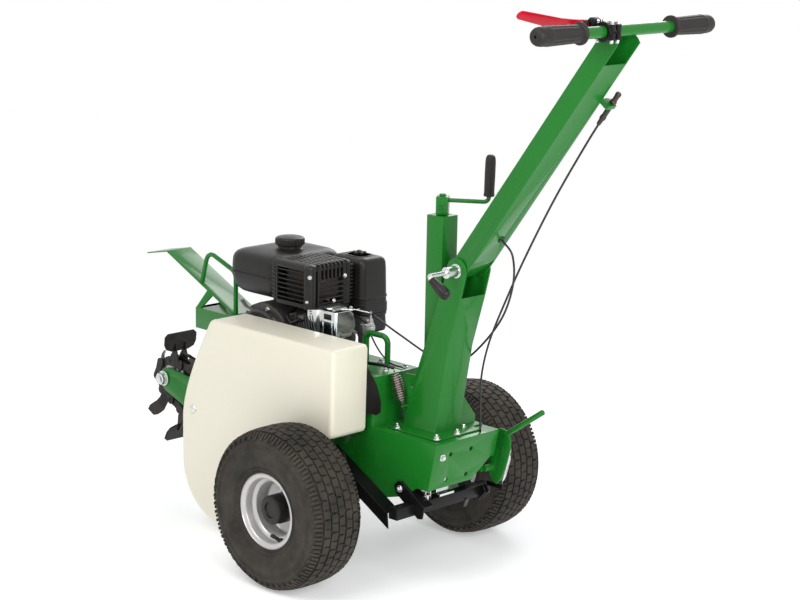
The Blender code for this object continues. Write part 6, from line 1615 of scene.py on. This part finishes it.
BAR_AXIS, ARM_PIVOT = (0.693, 1.318), (0.270, 0.750)
for name, side in (("grip_left", 1), ("grip_right", -1)):
    profile = [(0.145, 0.0128), (0.145, 0.0225), (0.1465, 0.0236), (0.1500, 0.0238),
               (0.1520, 0.0225), (0.1535, 0.0190), (0.1550, 0.0186), (0.1590, 0.0188)]
    profile += [(0.1600 + 0.0075 * k, 0.0189 + 0.00018 * k) for k in range(13)]
    profile += [(0.2520, 0.0211), (0.2540, 0.0208), (0.2570, 0.0204), (0.2700, 0.0200),
                (0.2770, 0.0190), (0.2820, 0.0168), (0.2845, 0.0135), (0.2850, 0.0060),
                (0.2842, 0.0032), (0.2700, 0.0030), (0.2700, 0.0128)]
    bm = bmesh.new()
    fluted(bm, profile, 108, (0.0, *BAR_AXIS), (side, 0.0, 0.0), (0.160, 0.2515), 12, 0.0016)
    machine_piece(name + "_fluted", bm, GRIP, BODY_OF[name], "grip_rubber", (name,), 50.0)
bm = bmesh.new()
tube = [(-0.270, 0.0), (-0.270, 0.0115), (-0.269, 0.0125), (0.269, 0.0125), (0.270, 0.0115),
        (0.270, 0.0)]
turned(bm, tube, 56, (0.0, *BAR_AXIS))
machine_piece("handlebar_tube", bm, GREEN, BODY_OF["handlebar"], "green_paint", ("handlebar",))

# %% [markdown]
# The clutch lever turns on a short arm that is clamped to the bar. Its faces lie askew, so they
# are drawn in the lever's own directions and a helper turns them into places. A hump over the arm
# covers the cable's end.

# %% Arm of the lever clamp
LEVER_AT, LEVER_WAY = Vector((0.095, 0.655, 1.324)), Vector((0.0, 0.617, 0.787)).normalized()


def lever_spot(x, across, up):
    """A machine place from x, a reach toward the grip and a height along the lever's pin."""
    return Vector((x, LEVER_AT.y + across * LEVER_WAY.z + up * LEVER_WAY.y,
                   LEVER_AT.z - across * LEVER_WAY.y + up * LEVER_WAY.z))


bm = bmesh.new()
arm = [(-0.0060, -0.0088), (0.0140, -0.0088), (0.0270, 0.0020), (0.0225, 0.0096), (0.0120, 0.0088),
       (-0.0060, 0.0088)]
hump = [(-0.0080, 0.0060), (0.0150, 0.0060), (0.0120, 0.0170), (0.0040, 0.0250), (-0.0060, 0.0240)]
for face, x, wide, roll in ((arm, 0.046, 0.060, 0.0018), (hump, 0.058, 0.028, 0.0022)):
    soften(bm, slab(bm, [lever_spot(x, *p) for p in face], (wide, 0.0, 0.0)), roll, 2, 25.0)
pin = [(-0.0165, 0.0), (-0.0165, 0.0045), (-0.0150, 0.0052), (-0.0136, 0.0052), (-0.0135, 0.0029),
       (0.0135, 0.0029), (0.0136, 0.0058), (0.0160, 0.0058), (0.0172, 0.0046), (0.0172, 0.0)]
turned(bm, pin, 24, LEVER_AT, LEVER_WAY)
machine_piece("lever_clamp_arm", bm, BLACK, BODY_OF["lever_clamp"], "black_paint",
              ("lever_clamp",))

# %% [markdown]
# Two cast clamps hold it, each in two halves round the bar. Their ears meet across a gap of a
# couple of millimetres, and small bolts pull them together, because a closed ring would read as
# a collar.

# %% Halves and bolts of the lever clamp
y, z = BAR_AXIS
bm = bmesh.new()
for low, high in ((0.0430, 0.0590), (0.0620, 0.0780)):
    ring = [(low, 0.0127), (low, 0.0196), (low + 0.0014, 0.0210), (high - 0.0014, 0.0210),
            (high, 0.0196), (high, 0.0127)]
    turned(bm, ring, 48, (0.0, y, z))
    for hand in (1, -1):
        for up in (1, -1):
            y_range = sorted((y + hand * 0.012, y + hand * 0.0235))
            z_range = sorted((z + up * 0.0012, z + up * 0.0165))
            soften(bm, block(bm, (low + 0.001, high - 0.001), y_range, z_range), 0.0020, 2)
machine_piece("lever_clamp_halves", bm, BLACK, "handle", "black_paint")
bm = bmesh.new()
for x in (0.0510, 0.0700):
    for hand in (1, -1):
        bolt(bm, (x, y + hand * 0.0188, z + 0.0163), UP, 0.0034, 0.0044, 0.002)
        bolt(bm, (x, y + hand * 0.0188, z - 0.0163), DOWN, 0.0034, 0.0044, 0.0)
machine_piece("lever_clamp_bolts", bm, ZINC, "handle", "zinc_plate")

# %% [markdown]
# The quick clamp holds the handle at its angle. A bent plated rod goes through the column with a
# nut and washers on it, and ends in a fluted knob. The rod is swept along a path with one round
# corner, so it stays a true round bar.

# %% Quick clamp
y, z = ARM_PIVOT
way = Vector((0.0, 0.030, -0.018)).normalized()
bm = bmesh.new()
stem = bent([(-0.056, y, z), (0.132, y, z), (0.132, y + 0.0343, z - 0.0206)], 0.011)
swept(bm, stem, 0.006, 6)
for low, high, radius, steps in ((-0.0520, -0.0438, 0.0108, 6), (-0.0436, -0.0425, 0.0135, 32),
                                 (0.0425, 0.0440, 0.0165, 32), (0.0442, 0.0760, 0.0132, 32)):
    ring = [(low, 0.0), (low, radius - 0.0010), (low + 0.0006, radius), (high - 0.0006, radius),
            (high, radius - 0.0010), (high, 0.0)]
    turned(bm, ring, steps, (0.0, y, z))
machine_piece("quick_clamp_stem", bm, ZINC, BODY_OF["clamp_lever"], "zinc_plate",
              ("clamp_lever",))
bm = bmesh.new()
knob = [(0.0, 0.0), (0.0, 0.0085), (0.0020, 0.0095), (0.0080, 0.0097), (0.0150, 0.0106),
        (0.0240, 0.0120), (0.0330, 0.0130), (0.0420, 0.0134), (0.0490, 0.0128), (0.0545, 0.0110),
        (0.0580, 0.0080), (0.0600, 0.0035), (0.0602, 0.0)]
fluted(bm, knob, 80, Vector((0.132, y, z)) + way * 0.013, way, (0.010, 0.050), 8, 0.0010)
machine_piece("quick_clamp_knob", bm, PLASTIC, BODY_OF["clamp_knob"], "black_plastic",
              ("clamp_knob",), 50.0)

# %% [markdown]
# The jack's crank is a square hub on the screw with a bent round arm, 35 degrees off the
# machine's middle line. One helper gives places at a distance from the screw in that heading,
# and the moulded grip is turned along the arm's upright end.

# %% Crank and its grip
JACK_Y, CRANK_HEADING = 0.184, math.radians(35.0)


def crank_spot(distance, height):
    """A place at a distance from the jack's screw along the crank, and a height."""
    return Vector((-math.sin(CRANK_HEADING) * distance,
                   JACK_Y + math.cos(CRANK_HEADING) * distance, height))


bm = bmesh.new()
soften(bm, block(bm, (-0.014, 0.014), (-0.014, 0.014), (0.8623, 0.905)), 0.0022, 2)
bmesh.ops.transform(bm, verts=bm.verts, matrix=Matrix.Translation((0.0, JACK_Y, 0.0))
                    @ Matrix.Rotation(CRANK_HEADING, 4, "Z"))
bar(bm, (0.0, JACK_Y, 0.410), (0.0, JACK_Y, 0.864), 0.010, 32)
elbow, arm_top = crank_spot(0.105, 0.896), crank_spot(0.107, 0.996)
swept(bm, bent([crank_spot(0.010, 0.896), elbow, arm_top], 0.011), 0.005, 6)
screw_head(bm, (0.0139, 0.190, 0.880), (0.8, 0.57, 0.0), 0.0042, 0.0040)
top_nut = [(0.0, 0.0), (0.0, 0.0075), (0.0008, 0.0083), (0.0046, 0.0083), (0.0058, 0.0068),
           (0.0058, 0.0)]
turned(bm, top_nut, 6, (0.0, JACK_Y, 0.9045), UP)
machine_piece("crank_arm_bent", bm, GREEN, BODY_OF["crank_arm"], "green_paint", ("crank_arm",))
bm = bmesh.new()
grip = [(0.0, 0.0054), (0.0, 0.0108), (0.0012, 0.0124), (0.0036, 0.0127), (0.0060, 0.0122),
        (0.0090, 0.0118), (0.0500, 0.0122), (0.0780, 0.0120), (0.0860, 0.0114), (0.0920, 0.0094),
        (0.0948, 0.0055), (0.0950, 0.0), (0.0890, 0.0), (0.0890, 0.0054)]
turned(bm, grip, 48, crank_spot(0.10526, 0.909), (arm_top - elbow).normalized())
machine_piece("crank_grip_moulded", bm, GRIP, BODY_OF["crank_grip"], "grip_rubber",
              ("crank_grip",))

# %% [markdown]
# The two control cables hang in soft bows from the handle to the deck and to the carburettor.
# A smooth curve runs through each knot that was read off the picture, since corners would look
# like wire. They cross the handle's joint, with their places fixed in their meshes.

# %% Control cables
def smooth_route(knots, per_span=10):
    """A curve through every knot, each span eased from its neighbours."""
    knots = [Vector(k) for k in knots]
    padded = [2 * knots[0] - knots[1]] + knots + [2 * knots[-1] - knots[-2]]
    dense = []
    for a, b, c, d in zip(padded, padded[1:], padded[2:], padded[3:]):
        for k in range(per_span):
            t = k / per_span
            dense.append(0.5 * (2 * b + (c - a) * t + (2 * a - 5 * b + 4 * c - d) * t * t
                                + (3 * b - a - 3 * c + d) * t ** 3))
    return dense + [knots[-1]]


CLUTCH_ROUTE = [(-0.052, 0.6259, 1.1608), (-0.052, 0.6187, 1.1512), (-0.052, 0.6115, 1.1416),
                (-0.053, 0.555, 1.062), (-0.054, 0.470, 0.930), (-0.056, 0.390, 0.790),
                (-0.056, 0.335, 0.680), (-0.056, 0.290, 0.580), (-0.054, 0.270, 0.500),
                (-0.053, 0.268, 0.430), (-0.053, 0.2705, 0.3573)]
THROTTLE_ROUTE = [(-0.010, 0.3511, 0.8330), (-0.010, 0.3575, 0.8282), (-0.010, 0.3639, 0.8234),
                  (-0.014, 0.388, 0.795), (-0.022, 0.385, 0.730), (-0.034, 0.345, 0.645),
                  (-0.046, 0.268, 0.560), (-0.050, 0.200, 0.512), (-0.053, 0.120, 0.505),
                  (-0.050, 0.010, 0.540), (-0.0460, -0.0860, 0.576)]
CABLE_RADIUS = 0.0025
for name, route, ends in (
        ("clutch_cable", CLUTCH_ROUTE, ((0.0, 0.290, 0.580), (0.0, 0.470, 0.930))),
        ("throttle_cable", THROTTLE_ROUTE, ((0.0, 0.268, 0.560), (0.0, 0.388, 0.795)))):
    bm = bmesh.new()
    swept(bm, smooth_route(route), CABLE_RADIUS, 3)
    bridging_piece(name + "_smooth", bm, CABLE, ("frame", "handle"), name)

# %% [markdown]
# A thin wire goes on to the engine. Two green plates close the joint of the handle: one at the
# foot of the arm and a web between the column's ears. They are thin slabs, which cost less than
# a Solidify modifier here.

# %% Stop wire, arm foot and column web
bm = bmesh.new()
link = [(-0.030, -0.090, 0.560), (-0.030, -0.084, 0.552), (-0.028, -0.062, 0.520),
        (-0.020, -0.026, 0.494), (-0.008, 0.020, 0.4800), (-0.006, 0.060, 0.4785)]
swept(bm, smooth_route(link), 0.0022, 3)
machine_piece("engine_stop_wire", bm, CABLE, "frame", "cable_black")
bm = bmesh.new()
foot = [(-0.0372, 0.2650, 0.7285), (0.0372, 0.2650, 0.7285), (0.0372, 0.3140, 0.7713),
        (-0.0372, 0.3140, 0.7713)]
soften(bm, slab(bm, foot, (0.0, -0.0022, 0.0026)), 0.0009, 2)
machine_piece("handle_arm_foot", bm, GREEN, "handle", "green_paint")
bm = bmesh.new()
web = [(0.2135, 0.6640), (0.2262, 0.7000), (0.2405, 0.7445), (0.2430, 0.7438), (0.2287, 0.6992),
       (0.2159, 0.6631)]
plate(bm, web, -0.0378, 0.0378)
machine_piece("column_front_web", bm, GREEN, "frame", "green_paint")

# %% [markdown]
# Small things guide the cables. A grommet lines the throttle cable's hole in the handle arm, and
# a boot covers the clutch cable's adjuster under the bar, both turned along the cable's own
# direction. A bent round hoop on the bridge keeps the cables off the hot engine.

# %% Grommet, boot and hoop
bm = bmesh.new()
grommet = [(0.0, 0.0), (0.0, 0.0078), (0.0012, 0.0086), (0.0028, 0.0080), (0.0034, 0.0050),
           (0.0034, 0.0)]
turned(bm, grommet, 32, (-0.010, 0.3570, 0.8280), (0.0, 0.8020, -0.5973))
machine_piece("cable_grommet", bm, CABLE, "handle", "cable_black")
bm = bmesh.new()
boot = [(-0.055, 0.0), (-0.055, 0.0040), (-0.052, 0.0048), (-0.040, 0.0052), (-0.039, 0.0066),
        (-0.035, 0.0070), (-0.031, 0.0066), (-0.030, 0.0058), (0.004, 0.0060), (0.006, 0.0074),
        (0.012, 0.0076), (0.014, 0.0060), (0.026, 0.0056), (0.027, 0.0066), (0.033, 0.0066),
        (0.0345, 0.0052), (0.0345, 0.0)]
turned(bm, boot, 28, (-0.052, 0.6187, 1.1512), (0.0, 0.5973, 0.8020))
machine_piece("cable_adjuster_boot", bm, CAN_STEEL, "handle", "cable_black")
bm = bmesh.new()
bow = [(0.0, 0.016, 0.4753), (0.0, 0.016, 0.545), (0.0, -0.056, 0.545), (0.0, -0.056, 0.4753)]
swept(bm, bent(bow, 0.018), 0.007, 6)
machine_piece("cable_hoop_bent", bm, GREEN, "frame", "green_paint", ("cable_hoop",))

# %% [markdown]
# The cream guard is a deep drawn cover. Its outline is extruded, the outer rim is rounded with a
# wide radius, the open side is removed and the skin is thickened inward. Starting from a closed
# solid keeps the rounding even, which a bevel along the rim of an open sheet would not.

# %% Belt guard
LOBE, LOBE_RADIUS = (-0.330, 0.188), 0.146
GUARD_BACK_X, GUARD_FACE_X, GUARD_SHEET = 0.117, 0.225, 0.0025
front_y = LOBE[0] - LOBE_RADIUS
start, pull, end = Vector((front_y, 0.290)), Vector((front_y, 0.372)), Vector((-0.368, 0.554))
outline = [tuple(end), (0.067, 0.554), (0.063, 0.348), (-0.150, 0.275)]
outline += arc(LOBE, LOBE_RADIUS, 10, -180, 44)
for t in (k / 14 for k in range(14)):
    outline.append(tuple(start.lerp(pull, t).lerp(pull.lerp(end, t), t)))
bm = bmesh.new()
plate(bm, outline, GUARD_BACK_X, GUARD_FACE_X)
corners = [e for e in bm.edges if abs(e.verts[0].co.x - e.verts[1].co.x) > 0.05
           and e.calc_face_angle(0.0) > math.radians(25)]
bmesh.ops.bevel(bm, geom=corners, offset=0.010, offset_type="OFFSET", segments=4, profile=0.5,
                affect="EDGES", clamp_overlap=True, material=-1)
rim = [e for e in bm.edges if all(v.co.x > GUARD_FACE_X - 0.0005 for v in e.verts)]
bmesh.ops.bevel(bm, geom=rim, offset=0.013, offset_type="OFFSET", segments=5, profile=0.5,
                affect="EDGES", clamp_overlap=True, material=-1)
back_faces = [f for f in bm.faces if all(v.co.x < GUARD_BACK_X + 0.0005 for v in f.verts)]
bmesh.ops.delete(bm, geom=back_faces, context="FACES_ONLY")
outward(bm, bm.faces)
bmesh.ops.solidify(bm, geom=bm.faces[:], thickness=GUARD_SHEET)
outward(bm, bm.faces)
machine_piece("belt_guard_drawn", bm, CREAM, BODY_OF["belt_guard"], "cream_paint",
              ("belt_guard",))
